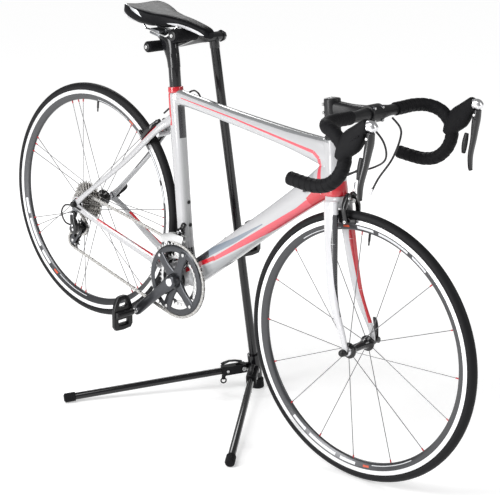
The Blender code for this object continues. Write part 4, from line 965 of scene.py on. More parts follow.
block_into(mesh, CLAMP + Vector((0.002, 0, 0.0045)), (0.034, 0.054, 0.006), soft=0.002)
for x in (-0.013, 0.017):
    rod_into(mesh, CLAMP + Vector((x, 0, -0.016)), CLAMP + Vector((x, 0, 0.012)), 0.0032, 16)
put("rail_clamp", mesh, MID_GREY, "saddle")

RAIL = 0.0035
PAD = BIKE.inverted() @ ((FRONT_PAD[0] + FRONT_PAD[1]) / 2)
PAD_RADIUS = (FRONT_PAD[1].z - FRONT_PAD[0].z) / 2
bend = PAD_RADIUS + RAIL + 0.0012
half_rail = [
    (CLAMP.x - 0.066, 0.0205, CLAMP.z + 0.04), (CLAMP.x - 0.054, 0.022, CLAMP.z + 0.016),
    (CLAMP.x - 0.036, 0.022, CLAMP.z), (CLAMP.x - 0.022, 0.022, CLAMP.z), (CLAMP.x, 0.022, CLAMP.z),
    (CLAMP.x + 0.026, 0.022, CLAMP.z), (CLAMP.x + 0.044, 0.022, CLAMP.z + 0.003),
]
for degrees, y in ((155, 0.9), (130, 0.8), (105, 0.65), (85, 0.5)):
    angle = radians(degrees)
    half_rail.append((PAD.x + bend * cos(angle), 0.022 * y, PAD.z + bend * sin(angle)))
for side in (1, -1):
    line = [(x, side * y, z) for x, y, z in half_rail] + [
        (PAD.x + 0.036, side * 0.008, PAD.z + bend + 0.003)
    ]
    keep(
        bar("rail_" + ("left" if side > 0 else "right"), line, RAIL, CHROME, sides=14, steps=5), "saddle",
        "saddle_rails",
    )


SADDLE_BASE = CLAMP.z + 0.03
# x, centre height, half width, crown, side drop, how far the corners rise
SADDLE = [
    (-0.1, 0.012, 0.028, 0.001, 0.019, 0.003), (-0.096, 0.0145, 0.048, 0.0, 0.028, 0.006),
    (-0.085, 0.017, 0.062, -0.001, 0.035, 0.008), (-0.062, 0.0185, 0.0665, -0.0005, 0.039, 0.006),
    (-0.032, 0.018, 0.063, 0.001, 0.038, 0.003), (0.0, 0.017, 0.052, 0.0022, 0.034, 0.0),
    (0.028, 0.0175, 0.04, 0.0034, 0.029, 0.0), (0.048, 0.018, 0.033, 0.0038, 0.023, 0.0),
    (0.064, 0.019, 0.0288, 0.0038, 0.019, 0.0), (0.085, 0.0205, 0.0248, 0.0035, 0.017, 0.0),
    (0.106, 0.021, 0.0226, 0.0032, 0.0175, 0.0), (0.13, 0.0205, 0.021, 0.0028, 0.017, 0.0),
    (0.155, 0.019, 0.0196, 0.0024, 0.018, 0.0), (0.169, 0.0165, 0.017, 0.0018, 0.016, 0.0),
    (0.1775, 0.013, 0.011, 0.001, 0.01, 0.0),
]


def saddle_point(station, angle):
    """A point on the cover: a crowned top, sides that roll under, raised tail corners."""
    x, height, half, crown, fall, ear = station
    c, s = cos(angle), sin(angle)
    y = copysign(abs(c) ** 0.62, c) * half
    if s >= 0:
        z = crown * s**0.7 * 1.6 + 0.0045 * s + ear * (abs(y) / half) ** 2
    else:
        z = -fall * abs(s) ** 0.55 + ear * max(0, 1 - abs(s) * 3)
        y *= 1 - 0.22 * abs(s) ** 2
    return Vector((CLAMP.x + x, y, SADDLE_BASE + height + z))


def saddle_shape(mesh):
    count = 48
    rings = [
        [saddle_point(station, 2 * pi * k / count) for k in range(count)]
        for station in smooth_line(SADDLE, 5)
    ]
    skin(mesh, rings)


def carved(item, blocks, sharp=50):
    """The piece with rounded blocks (centre, size, turn, soft) cut out of it."""
    tools = []
    for centre, size, turn, soft in blocks:
        mesh = bmesh.new()
        block_into(mesh, centre, size, turn, soft)
        tools.append(made_object("tool", mesh, item.matrix_world.copy(), item.data.materials[0]))
        step = item.modifiers.new("room", "BOOLEAN")
        step.operation = "DIFFERENCE"
        step.object = tools[-1]
        step.solver = "EXACT"
    bpy.context.view_layer.update()
    item.data = bpy.data.meshes.new_from_object(item.evaluated_get(bpy.context.evaluated_depsgraph_get()))
    item.modifiers.clear()
    item.data.shade_smooth()
    item.data.set_sharp_from_angle(angle=radians(sharp))
    for tool in tools:
        bpy.data.objects.remove(tool)
    return item


mesh = bmesh.new()
saddle_shape(mesh)
COVER_BODY = made_object("saddle_cover", mesh, BIKE, COVER, sharp=60)
carved(
    COVER_BODY,
    [
        ((CLAMP.x - 0.034, 0, CLAMP.z + 0.018), (0.108, 0.07, 0.042), None, 0.008),
        ((CLAMP.x + 0.075, 0, CLAMP.z + 0.027), (0.15, 0.032, 0.03), None, 0.006),
    ],
)
keep(COVER_BODY, "saddle", "saddle")

# pale panels along the nose and round the tail of the saddle
def saddle_strip(name, rows, material):
    """A thin panel laid on the cover; a row is x, first angle, last angle in degrees."""
    line = smooth_line(SADDLE, 5)
    mesh = bmesh.new()
    for mirror in (1, -1):
        made = []
        for x, first, last in smooth_line(rows, 4):
            after = next((k for k, station in enumerate(line) if station[0] >= x), len(line) - 1)
            one, two = line[max(after - 1, 0)], line[after]
            share = (x - one[0]) / max(two[0] - one[0], 1e-6)
            station = tuple(a + (b - a) * share for a, b in zip(one, two))
            row = []
            for k in range(7):
                angle = radians(first + (last - first) * k / 6)
                point = saddle_point(station, angle)
                outward = Vector((0, cos(angle) * 0.7, sin(angle))).normalized() * 0.0005
                row.append(mesh.verts.new((point.x, mirror * (point.y + outward.y), point.z + outward.z)))
            made.append(row)
        for one, two in zip(made, made[1:]):
            for k in range(6):
                mesh.faces.new((one[k], one[k + 1], two[k + 1], two[k]))
    piece = made_object(name, mesh, BIKE, material, sharp=None)
    piece.data.shade_smooth()
    keep(piece, "saddle")


saddle_strip(
    "saddle_nose_panels",
    [(0.048, -12, -14), (0.075, -6, -30), (0.11, -4, -34), (0.15, -4, -30), (0.168, -8, -14)], WHITE,
)
saddle_strip(
    "saddle_tail_panels",
    [(-0.096, 12, 36), (-0.085, 6, 26), (-0.062, 0, 14), (-0.036, -4, 2), (-0.02, -7, -6)], PALE,
)
saddle_strip(
    "saddle_tail_edges", [(-0.094, -8, -20), (-0.08, -14, -24), (-0.06, -22, -30), (-0.04, -34, -38)],
    SILVER,
)


# ---------------------------------------------------------------- stand
def dress(node, material, soft=0.0008):
    """A CAD part shown as it is, with rounded edges and a finish."""
    item = frame["nodes"][node]
    item.data.materials.clear()
    item.data.materials.append(material)
    if soft:
        edge = item.modifiers.new("edge", "BEVEL")
        edge.width = soft
        edge.segments = 2
        edge.limit_method = "ANGLE"
        edge.angle_limit = radians(40)
        edge.harden_normals = False


def bolt_into(mesh, place, axis, radius=0.0055, height=0.0035, socket=0.45):
    """A cap screw with a round recess."""
    profile = [
        (0, height * 0.35), (radius * socket, height * 0.35), (radius * socket, height), (radius, height),
        (radius, 0), (0, 0),
    ]
    lathe_into(mesh, profile, place, axis, 24, radius * 0.12)


mesh = bmesh.new()
rod_into(mesh, MAST_FOOT + MAST_UP * 0.0106, MAST_TOP - MAST_UP * 0.03, MAST_RADIUS, 40, 0.0004)
put("mast", mesh, GLOSS, "stand", "mast_tube", matrix=ROW)
keep(
    lathe(
        "mast_rubber",
        [
            (0, 0), (0.017, 0), (0.0195, 0.003), (0.019, 0.01), (0.0183, 0.0108), (0.0188, 0.0116),
            (0.0182, 0.018), (0.0176, 0.0188), (0.0181, 0.0196), (0.0175, 0.028), (0.013, 0.028),
            (0, 0.027),
        ],
        MAST_FOOT, (0, 0, 1), RUBBER, matrix=ROW, soft=0.0006,
    ),
    "stand", "mast_foot",
)
mesh = bmesh.new()
rod_into(mesh, MAST_TOP - MAST_UP * 0.03, MAST_TOP, 0.0135, 40)
lathe_into(
    mesh,
    [
        (0, BARREL_NEAR), (0.012, BARREL_NEAR), (0.013, BARREL_NEAR + 0.001), (0.013, MAST_TOP.y + 0.034),
        (0, MAST_TOP.y + 0.034),
    ],
    mid_plane(MAST_TOP), ACROSS, 40, 0.0006,
)
lathe_into(
    mesh,
    [
        (0.011, MAST_TOP.y + 0.024), (0.016, MAST_TOP.y + 0.025), (0.0165, MAST_TOP.y + 0.029),
        (0.0125, MAST_TOP.y + 0.0385), (0.0105, MAST_TOP.y + 0.04), (0, MAST_TOP.y + 0.04),
    ],
    mid_plane(MAST_TOP), ACROSS, 8, 0.0008,
)
put("mast_tee", mesh, GLOSS, "stand", "mast_head", matrix=ROW)

PADS = []
for label, pad in (("front", FRONT_PAD), ("rear", REAR_PAD)):
    x, z = (pad[0].x + pad[1].x) / 2, (pad[0].z + pad[1].z) / 2
    radius = (pad[1].z - pad[0].z) / 2
    PADS.append(Vector((x, pad[1].y, z)))
    profile = [(0.0085, pad[1].y), (radius - 0.0015, pad[1].y), (radius, pad[1].y - 0.002)]
    for k in range(7):
        share = (k + 0.5) / 7
        profile.append((
            radius - 0.0004 * sin(pi * share) ** 2,
            pad[1].y - 0.002 + (pad[0].y - pad[1].y + 0.004) * share,
        ))
    profile += [(radius, pad[0].y + 0.002), (radius - 0.0015, pad[0].y), (0.0085, pad[0].y)]
    sleeve = lathe(label + "_foam", profile, (x, 0, z), ACROSS, FOAM, matrix=ROW, steps=64, soft=0.0005)
    keep(sleeve, "stand", label + "_pad")
    mesh = bmesh.new()
    lathe_into(
        mesh,
        [
            (0, pad[0].y - 0.0003), (radius * 0.72, pad[0].y - 0.0003), (radius * 0.72, pad[0].y - 0.0032),
            (radius * 0.5, pad[0].y - 0.0044), (0, pad[0].y - 0.0044),
        ],
        (x, 0, z), ACROSS, 40, 0.0008,
    )
    put(label + "_end_disc", mesh, SATIN, "stand", matrix=ROW)
    mesh = bmesh.new()
    bolt_into(mesh, (x, pad[0].y - 0.004, z), (0, -1, 0), 0.0048, 0.0022)
    put(label + "_end_bolt", mesh, STEEL, "stand", matrix=ROW)

slope = (PADS[0] - PADS[1]).normalized()
half = (PADS[0] - PADS[1]).length / 2
middle = (PADS[0] + PADS[1]) / 2
start_y, end_y = BARREL_NEAR - 0.0003, PADS[0].y + 0.0003


def yoke_station(share, depth, width):
    lean = min(1, share * 1.4)
    return (
        MAST_TOP.x + (middle.x - MAST_TOP.x) * lean, start_y + (end_y - start_y) * share,
        MAST_TOP.z + (middle.z - MAST_TOP.z) * lean, depth, width,
    )


mesh = bmesh.new()
loft_into(
    mesh,
    [
        yoke_station(0.0, 0.012, 0.0125), yoke_station(0.15, 0.0125, 0.016),
        yoke_station(0.45, 0.014, half * 0.78), yoke_station(0.75, 0.015, half + 0.01),
        yoke_station(1.0, 0.0145, half + 0.014),
    ],
    side=slope, heading=(0, -1, 0), power=3.4,
)
put("yoke", mesh, GLOSS, "stand", "support_fork", matrix=ROW)
mesh = bmesh.new()
bolt_into(mesh, PADS[1] + Vector((-0.004, 0.01, -0.0125)), (-0.35, -0.1, -0.93), 0.0052, 0.004)
put("yoke_bolt", mesh, STEEL, "stand", matrix=ROW)

dress("leg_hub", GLOSS, 0.001)
for label in ("rear", "front"):
    pivot = joint_place(label + "_leg_fold")
    hinge = -Vector(JOINTS[label + "_leg_fold"]["axis"]).normalized()
    out = hinge.cross(Vector((0, 0, 1))).normalized()
    foot = pivot + out * 0.511
    foot.z = 0.0138
    run = (foot - pivot).normalized()
    deep = run.cross(hinge)
    turn = Matrix((run, hinge, deep)).transposed()
    leg = label + "_leg"
    mesh = bmesh.new()
    rod_into(mesh, pivot + run * 0.024, foot, 0.01, 36, 0.0004)
    put(leg + "_bar", mesh, GLOSS, leg, leg + "_tube", matrix=ROW)
    profile = [(0, 0.007), (0.0085, 0.007), (0.013, 0.003)]
    for k in range(4):
        height = -0.001 - 0.006 * k
        profile += [(0.013, height), (0.0124, height - 0.0012), (0.013, height - 0.0024)]
    profile += [(0.013, -0.0245), (0.0122, -0.026), (0.0103, -0.026), (0.0103, 0.0003), (0, 0.0003)]
    keep(lathe(leg + "_rubber", profile, foot, run, RUBBER, matrix=ROW, soft=0.0004), leg, leg + "_foot")
    dress(leg + "_bracket", PLASTIC, 0.0012)
    dress(leg + "_latch", SATIN, 0.0008)
    mesh = bmesh.new()
    for side in (-1, 1):
        bolt_into(mesh, pivot + hinge * side * 0.0142, hinge * side, 0.0062, 0.003)
        bolt_into(mesh, pivot + run * 0.048 + hinge * side * 0.0142, hinge * side, 0.004, 0.0022)
    put(leg + "_rivets", mesh, STEEL, leg, matrix=ROW)
    mesh = bmesh.new()
    eye = pivot + run * 0.062 - deep * 0.03
    points = [eye + (run * cos(a) + deep * sin(a)) * 0.0075 for a in (2 * pi * k / 24 for k in range(24))]
    tube_into(mesh, points, 0.0022, 12, closed=True)
    put(leg + "_hook_eye", mesh, SATIN, leg, matrix=ROW)


# ---------------------------------------------------------------- fork
def fork_shape(mesh):
    rod_into(mesh, CROWN - STEER_UP * 0.012, CROWN + STEER_UP * 0.006, 0.024, 48)
    loft_into(
        mesh,
        [
            along(CROWN, STEER_UP, -0.0006, 0.026, 0.027),
            along(CROWN + STEER_AHEAD * 0.002, STEER_UP, -0.01, 0.025, 0.0335),
            along(CROWN + STEER_AHEAD * 0.003, STEER_UP, -0.022, 0.021, 0.038),
        ],
        heading=STEER_UP,
    )
    for side in (-1, 1):
        loft_into(
            mesh,
            [
                (
                    *(CROWN + STEER_AHEAD * 0.004 - STEER_UP * 0.01 + Vector((0, side * 0.0265, 0))),
                    0.0205, 0.0095,
                ),
                (
                    *(CROWN + STEER_AHEAD * 0.005 - STEER_UP * 0.1 + Vector((0, side * 0.0345, 0))), 0.019,
                    0.008,
                ),
                (
                    *(CROWN + STEER_AHEAD * 0.014 - STEER_UP * 0.24 + Vector((0, side * 0.0475, 0))), 0.014,
                    0.006,
                ),
                (FRONT_HUB.x - 0.01, side * 0.054, 0.03, 0.0085, 0.004),
                (FRONT_HUB.x + 0.001, side * 0.0545, 0.002, 0.0085, 0.004),
            ],
            sides=32,
        )


FORK_PAINT = side_paint(
    "fork_lacquer", (0.52, 0.52, 0.535),
    [
        (
            INK,
            paint_lines(
                (0.864, 0.308, 0.011), (0.88, 0.24, 0.012), (0.915, 0.15, 0.0085), (0.946, 0.08, 0.002),
            ),
            -1,
        ),
        (
            REDDISH,
            paint_lines(
                (0.864, 0.308, 0.011), (0.88, 0.24, 0.012), (0.926, 0.12, 0.0095), (0.964, 0.045, 0.004),
            ),
            1,
        ),
        (SILVERY, paint_lines((0.826, 0.346, 0.006), (0.87, 0.356, 0.006)), 0),
    ],
)
FORK_BODY = smooth_body("painted_fork", fork_shape, 0.0018, 5, FORK_PAINT)
keep(FORK_BODY, "steering", "fork")
mesh = bmesh.new()
for side in (-1, 1):
    flat_into(mesh, [circle((FRONT_HUB.x, FRONT_HUB.z), 0.0098, 28)], side * 0.0506, side * 0.0582)
put("fork_dropouts", mesh, SATIN, "steering")
mesh = bmesh.new()
lathe_into(
    mesh, [(0, 0.1385), (0.0225, 0.1385), (0.0222, 0.144), (0.019, 0.147), (0, 0.147)], CROWN, STEER_UP, 48,
    0.001,
)
height = HEAD_TUBE + 0.0072
for size in (0.01, 0.01, 0.01, 0.005, 0.005):
    lathe_into(
        mesh, [(0, height), (0.018, height), (0.018, height + size - 0.0004), (0, height + size - 0.0004)],
        CROWN, STEER_UP, 40, 0.0008,
    )
    height += size
put("spacers", mesh, SATIN, "steering")

# ---------------------------------------------------------------- stem and bar
mesh = bmesh.new()
lathe_into(
    mesh, [(0, 0.0), (0.0205, 0.0), (0.0205, 0.042), (0.0185, 0.0445), (0.01, 0.046), (0, 0.046)],
    STEM_BASE, STEER_UP, 48, 0.0012,
)
reach = (BAR - STEM_CENTRE).normalized()
length = (BAR - STEM_CENTRE).length
loft_into(
    mesh,
    [
        along(STEM_CENTRE, reach, 0.006, 0.019, 0.0165),
        along(STEM_CENTRE, reach, length * 0.5, 0.0155, 0.015),
        along(STEM_CENTRE, reach, length - 0.016, 0.017, 0.02),
    ],
    power=2.8,
)
lathe_into(
    mesh,
    [
        (0.0159, -0.023), (0.0205, -0.023), (0.0215, -0.0215), (0.0215, 0.0215), (0.0205, 0.023),
        (0.0159, 0.023),
    ],
    mid_plane(BAR), ACROSS, 56, 0.0008,
)
put("stem_body", mesh, SATIN, "steering", "stem")
mesh = bmesh.new()
for y in (-0.015, 0.015):
    for rise in (-0.015, 0.015):
        place = BAR + reach * 0.012 + Vector((0, y, 0)) + Vector((-reach.z, 0, reach.x)) * rise
        rod_into(mesh, place - reach * 0.006, place + reach * 0.006, 0.0042, 20)
put("faceplate", mesh, GREY, "steering")
mesh = bmesh.new()
bolt_into(mesh, STEM_BASE + STEER_UP * 0.0455, STEER_UP, 0.006, 0.0022)
for rise in (0.011, 0.031):
    bolt_into(
        mesh, STEM_BASE + STEER_UP * rise - STEER_AHEAD * 0.015 + Vector((0, -0.015, 0)), (-0.35, -0.94, 0),
        0.004, 0.003,
    )
for y in (-0.015, 0.015):
    for rise in (-0.015, 0.015):
        place = BAR + reach * 0.0178 + Vector((0, y, 0)) + Vector((-reach.z, 0, reach.x)) * rise
        bolt_into(mesh, place, reach, 0.003, 0.0016)
put("stem_bolts", mesh, STEEL, "steering")


def bar_route(side):
    """The centre line of one half of the drop bar, from the middle outwards."""
    route = [
        (0.0, 0.035, 0.0), (0.001, 0.105, 0.001), (0.004, 0.158, 0.003), (0.018, 0.192, 0.003),
        (0.045, 0.2035, 0.0), (0.072, 0.205, -0.012), (0.09, 0.2055, -0.034), (0.094, 0.206, -0.062),
        (0.085, 0.2065, -0.092), (0.063, 0.207, -0.118), (0.03, 0.2072, -0.133), (-0.008, 0.2075, -0.139),
        (-0.042, 0.2075, -0.142),
    ]
    return [(BAR.x + x, side * y, BAR.z + z) for x, y, z in route]


def taped(side):
    """Overlapping turns of tape: the radius falls slowly and steps up at each edge."""
    line = [Vector(p) for p in smooth_line(bar_route(side), 14)]
    fine, lengths = [line[0]], [0.0]
    for start, end in zip(line, line[1:]):
        count = max(1, round((end - start).length / 0.0016))
        for k in range(1, count + 1):
            fine.append(start.lerp(end, k / count))
            lengths.append(lengths[-1] + (end - start).length / count)
    begin = 0.05
    fine = [p for p, l in zip(fine, lengths) if l >= begin]
    lengths = [l - begin for l in lengths if l >= begin]
    width = 0.0165
    mesh = bmesh.new()
    sides = 28
    rings = []
    for i, point in enumerate(fine):
        ahead = (fine[min(i + 1, len(fine) - 1)] - fine[max(i - 1, 0)]).normalized()
        up = Vector((0, 0, 1)) if abs(ahead.z) < 0.9 else Vector((1, 0, 0))
        if i:
            up = last_up
        up = (up - ahead * up.dot(ahead)).normalized()
        last_up = up
        across = ahead.cross(up)
        ring = []
        for k in range(sides):
            angle = 2 * pi * k / sides
            phase = (lengths[i] / width + 0.5 * cos(angle) * 0.35 + side * 0.1) % 1.0
            ridge = 0.0011 * (1 - phase) ** 0.6 - 0.0006 * (phase > 0.93)
            ring.append(point + (up * cos(angle) + across * sin(angle)) * (0.0152 + ridge))
        rings.append(ring)
    skin(mesh, rings)
    end = fine[-1]
    tail = (fine[-1] - fine[-3]).normalized()
    return mesh, end, tail


for name, side in (("right", -1), ("left", 1)):
    mesh, end, tail = taped(side)
    wrap_piece = keep(made_object(name + "_tape", mesh, BIKE, TAPE, sharp=70), "steering", "handlebar")
    mesh = bmesh.new()
    lathe_into(
        mesh, [(0, 0.0), (0.0152, 0.0), (0.0157, 0.002), (0.012, 0.0042), (0, 0.0048)], end, tail, 36,
        0.0008,
    )
    put(name + "_bar_end", mesh, SATIN, "steering")
mesh = bmesh.new()
lathe_into(
    mesh,
    [
        (0, -0.085), (0.0132, -0.085), (0.0132, -0.06), (0.0157, -0.04), (0.0157, 0.04), (0.0132, 0.06),
        (0.0132, 0.085), (0, 0.085),
    ],
    mid_plane(BAR), ACROSS, 48,
)
put("bar_middle", mesh, SATIN, "steering")

# ---------------------------------------------------------------- controls
for name, side in (("right", -1), ("left", 1)):
    y = side * 0.206
    pivot = in_bike(name + "_brake")
    mesh = bmesh.new()
    loft_into(
        mesh,
        [
            (BAR.x + 0.086, y, BAR.z - 0.046, 0.015, 0.0178), (BAR.x + 0.09, y, BAR.z - 0.028, 0.02, 0.018),
            (BAR.x + 0.103, y, BAR.z - 0.002, 0.027, 0.0165),
            (BAR.x + 0.118, y - side * 0.001, BAR.z + 0.024, 0.0205, 0.0158),
            (BAR.x + 0.132, y - side * 0.002, BAR.z + 0.05, 0.0125, 0.0128),
        ],
        power=2.6, sides=40,
    )
    hood = made_object(name + "_hood_cover", mesh, BIKE, RUBBER, sharp=None)
    carved(
        hood,
        [
            ((BAR.x + 0.152, y, BAR.z - 0.02), (0.034, 0.023, 0.102), None, 0.002),
            ((BAR.x + 0.134, y, BAR.z - 0.049), (0.034, 0.05, 0.056), None, 0.003),
        ],
        45,
    )
    keep(hood, "steering", name + "_hood")
    mesh = bmesh.new()
    loft_into(
        mesh,
        [
            (BAR.x + 0.1345, y - side * 0.002, BAR.z + 0.044, 0.0118, 0.012),
            (BAR.x + 0.144, y - side * 0.002, BAR.z + 0.046, 0.012, 0.0122),
            (BAR.x + 0.153, y - side * 0.002, BAR.z + 0.042, 0.009, 0.0105),
        ],
        sides=32,
    )
    put(name + "_hood_cap", mesh, SILVER, "steering")
    mesh = bmesh.new()
    for k in range(5):
        middle = Vector((BAR.x + 0.096 + 0.006 * k, y + side * 0.015, BAR.z - 0.012 + 0.007 * k))
        block_into(mesh, middle, (0.0022, 0.003, 0.018), Matrix.Rotation(0.9, 3, "Y"), 0.0007)
    put(name + "_hood_ribs", mesh, RUBBER, "steering")

    mesh = bmesh.new()
    loft_into(
        mesh,
        [
            (pivot.x + 0.0005, y, pivot.z + 0.012, 0.008, 0.0098),
            (pivot.x + 0.003, y, pivot.z - 0.01, 0.0092, 0.0098),
            (pivot.x + 0.004, y + side * 0.001, pivot.z - 0.03, 0.0085, 0.0092),
            (pivot.x + 0.006, y + side * 0.003, pivot.z - 0.06, 0.0066, 0.0084),
            (pivot.x + 0.0062, y + side * 0.006, pivot.z - 0.1, 0.0054, 0.008),
            (pivot.x + 0.0115, y + side * 0.008, pivot.z - 0.128, 0.0048, 0.0064),
            (pivot.x + 0.015, y + side * 0.0085, pivot.z - 0.136, 0.004, 0.005),
        ],
        sides=32, power=2.8,
    )
    put(name + "_lever_blade", mesh, GLOSS, name + "_lever", name + "_brake_lever")
    mesh = bmesh.new()
    rod_into(
        mesh, (pivot.x - 0.001, y - 0.0108, pivot.z), (pivot.x - 0.001, y + 0.0108, pivot.z), 0.0032, 16,
    )
    put(name + "_lever_pin", mesh, STEEL, name + "_lever")
    mesh = bmesh.new()
    loft_into(
        mesh,
        [
            (pivot.x - 0.012, y - side * 0.003, pivot.z - 0.05, 0.0055, 0.0034),
            (pivot.x - 0.0108, y - side * 0.004, pivot.z - 0.068, 0.007, 0.0056),
            (pivot.x - 0.0095, y - side * 0.004, pivot.z - 0.084, 0.0066, 0.0058),
            (pivot.x - 0.0085, y - side * 0.003, pivot.z - 0.098, 0.0048, 0.0044),
        ],
        sides=28,
    )
    put(name + "_paddle_blade", mesh, SATIN, name + "_paddle", name + "_shift_paddle")

# ---------------------------------------------------------------- cables
CABLES = {
    "front_brake_cable": [
        (0.024, 0.046, -0.008), (0.06, 0.04, -0.03), (0.062, 0.026, -0.09), (0.04, 0.018, -0.15),
        (0.03, 0.015, -0.19),
    ],
    "rear_brake_cable": [
        (0.024, -0.046, -0.008), (0.066, -0.034, -0.04), (0.06, 0.0, -0.09), (0.01, 0.034, -0.136),
        (-0.06, 0.042, -0.18), (-0.116, 0.03, -0.228),
    ],
    "gear_cable": [
        (0.018, -0.056, -0.018), (0.046, -0.052, -0.06), (0.03, -0.046, -0.115), (-0.02, -0.044, -0.16),
        (-0.07, -0.04, -0.194), (-0.116, -0.03, -0.228),
    ],
}
for name, route in CABLES.items():
    line = [(BAR.x + x, y, BAR.z + z) for x, y, z in route]
    housing = bar(name + "_housing", line, 0.0025, SATIN, sides=12, steps=12)
    if name == "front_brake_cable":
        keep(housing, "steering", name)
        ferrule = Vector(line[-1])
        keep(
            bar(
                name + "_ferrule",
                [ferrule + Vector((0.001, 0.0, 0.012)), ferrule, ferrule - Vector((0.001, 0, 0.004))],
                0.0032, SILVER, sides=12,
            ),
            "steering",
        )
    else:
        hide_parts(name)
        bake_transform(housing)
mesh = bmesh.new()
for name in ("rear_brake_cable", "gear_cable"):
    x, y, z = CABLES[name][-1]
    place = Vector((BAR.x + x, y, BAR.z + z))
    loft_into(
        mesh,
        [
            (place.x + 0.004, place.y, place.z + 0.003, 0.0036, 0.0036),
            (place.x - 0.012, place.y * 0.96, place.z - 0.009, 0.0042, 0.0042),
            (place.x - 0.02, place.y * 0.8, place.z - 0.015, 0.0028, 0.003),
        ],
        sides=16,
    )
put("cable_stops", mesh, SATIN, "bike")
keep(
    bar(
        "rear_brake_housing",
        [
            (SEAT_TOP.x + 0.088, 0.01, SEAT_TOP.z - 0.008), (SEAT_TOP.x + 0.066, 0.017, SEAT_TOP.z + 0.002),
            (SEAT_TOP.x + 0.034, 0.026, SEAT_TOP.z - 0.006), (SEAT_TOP.x - 0.02, 0.028, SEAT_TOP.z - 0.058),
            (REAR_BOLT.x + 0.012, 0.022, REAR_BOLT.z + 0.05),
            (REAR_BOLT.x - 0.006, 0.018, REAR_BOLT.z + 0.026),
        ],
        0.0024, SATIN, sides=10,
    ),
    "bike",
)
keep(
    bar(
        "rear_gear_housing",
        [
            (0.03, -0.076, -0.006), (0.0, -0.079, -0.004), (-0.03, -0.081, -0.014), (-0.04, -0.081, -0.04),
            (-0.022, -0.08, -0.062), (0.004, -0.079, -0.062),
        ],
        0.0024, SATIN, sides=10,
    ),
    "bike",
)


# ---------------------------------------------------------------- brakes
def caliper(name, bolt, ahead, hub):
    """Two arms round the tyre, their shoes, the return spring and the centre bolt."""
    ahead = Vector(ahead).normalized()
    inward = (hub - bolt).normalized()
    pad_reach = (bolt - hub).length - (RIM_RADIUS - 0.005)
    pad = bolt + inward * pad_reach
    for label, side in (("right", -1), ("left", 1)):
        out = Vector((0, side, 0))
        body = name + "_arm_" + label
        mesh = bmesh.new()
        loft_into(
            mesh,
            [
                (*(bolt + out * 0.0068 - inward * 0.016), 0.0048, 0.0064),
                (*(bolt + out * 0.012 - inward * 0.011), 0.006, 0.007),
                (*(bolt + out * 0.0185 - inward * 0.002), 0.0064, 0.007),
                (*(bolt + out * 0.0265 + inward * 0.014), 0.0052, 0.0064),
                (*(pad + out * 0.0252 - inward * 0.012), 0.0044, 0.0062),
                (*(pad + out * 0.0225 + inward * 0.002), 0.005, 0.0066),
            ],
            side=ahead, sides=28, power=3.0,
        )
        put(body + "_forging", mesh, GLOSS, body, name + "_caliper_" + label)
        mesh = bmesh.new()
        along_rim = inward.cross(Vector(ACROSS)).normalized()
        turn = Matrix((along_rim, Vector(ACROSS), inward)).transposed()
        block_into(mesh, pad + out * 0.0165, (0.05, 0.005, 0.0095), turn, 0.0014)
        put(body + "_holder", mesh, SATIN, body)
        mesh = bmesh.new()
        block_into(mesh, pad + out * 0.0134, (0.046, 0.0026, 0.0082), turn, 0.0009)
        put(body + "_shoe", mesh, RUBBER, body)
        mesh = bmesh.new()
        bolt_into(mesh, pad + out * 0.0262, out, 0.0038, 0.003)
        bolt_into(mesh, bolt + out * 0.015 - inward * 0.007 + ahead * 0.0068, ahead, 0.0034, 0.0022)
        put(body + "_screws", mesh, STEEL, body)
    parent = "steering" if name == "front" else "bike"
    mesh = bmesh.new()
    rod_into(mesh, bolt - ahead * 0.012, bolt + ahead * 0.0085, 0.0056, 28)
    bolt_into(mesh, bolt + ahead * 0.008, ahead, 0.0046, 0.003)
    put(name + "_brake_bolt", mesh, STEEL, parent)
    mesh = bmesh.new()
    top = bolt - inward * 0.02
    tube_into(
        mesh,
        smooth_line(
            [
                tuple(bolt + Vector((0, -0.02, 0)) + inward * 0.01 - ahead * 0.008),
                tuple(bolt + Vector((0, -0.012, 0)) - inward * 0.006 - ahead * 0.009),
                tuple(bolt - inward * 0.01 - ahead * 0.009),
                tuple(bolt + Vector((0, 0.012, 0)) - inward * 0.006 - ahead * 0.009),
                tuple(bolt + Vector((0, 0.02, 0)) + inward * 0.01 - ahead * 0.008),
            ],
            6,
        ),
        0.0012, 8,
    )
    put(name + "_brake_spring", mesh, STEEL, parent)
    mesh = bmesh.new()
    rod_into(
        mesh, top + Vector((0, 0.014, 0)) - inward * 0.004, top + Vector((0, 0.018, 0)) - inward * 0.022,
        0.0032, 16,
    )
    bolt_into(mesh, top + Vector((0, 0.014, 0)), ACROSS, 0.0045, 0.003)
    put(name + "_cable_anchor", mesh, SILVER, name + "_arm_left")


caliper("front", FRONT_BOLT, STEER_AHEAD, FRONT_HUB)
caliper("rear", REAR_BOLT, STAY_BACK, REAR_HUB)


# ---------------------------------------------------------------- drivetrain
def pitch_radius(teeth):
    return CHAIN_PITCH / (2 * sin(pi / teeth))


def chain_loop(wheels, offset, arc_step=radians(2)):
    """The closed line round (centre, radius, turn) wheels in order, moved outwards."""
    sized = [(Vector(c), r + turn * offset, turn) for c, r, turn in wheels]
    leaves, meets = [], []
    for i, (here, near, turn) in enumerate(sized):
        there, far, next_turn = sized[(i + 1) % len(sized)]
        span = there - here
        angle = atan2(span.y, span.x) - asin((next_turn * far - turn * near) / span.length)
        left = Vector((-sin(angle), cos(angle)))
        leaves.append(here - left * turn * near)
        meets.append(there - left * next_turn * far)
    line = []
    for i, (centre, radius, turn) in enumerate(sized):
        first, last = meets[i - 1] - centre, leaves[i] - centre
        start = atan2(first.y, first.x)
        sweep = (atan2(last.y, last.x) - start) * turn % (2 * pi)
        count = max(2, ceil(sweep / arc_step))
        for k in range(count + 1):
            angle = start + turn * sweep * k / count
            line.append((centre.x + radius * cos(angle), centre.y + radius * sin(angle)))
    return line


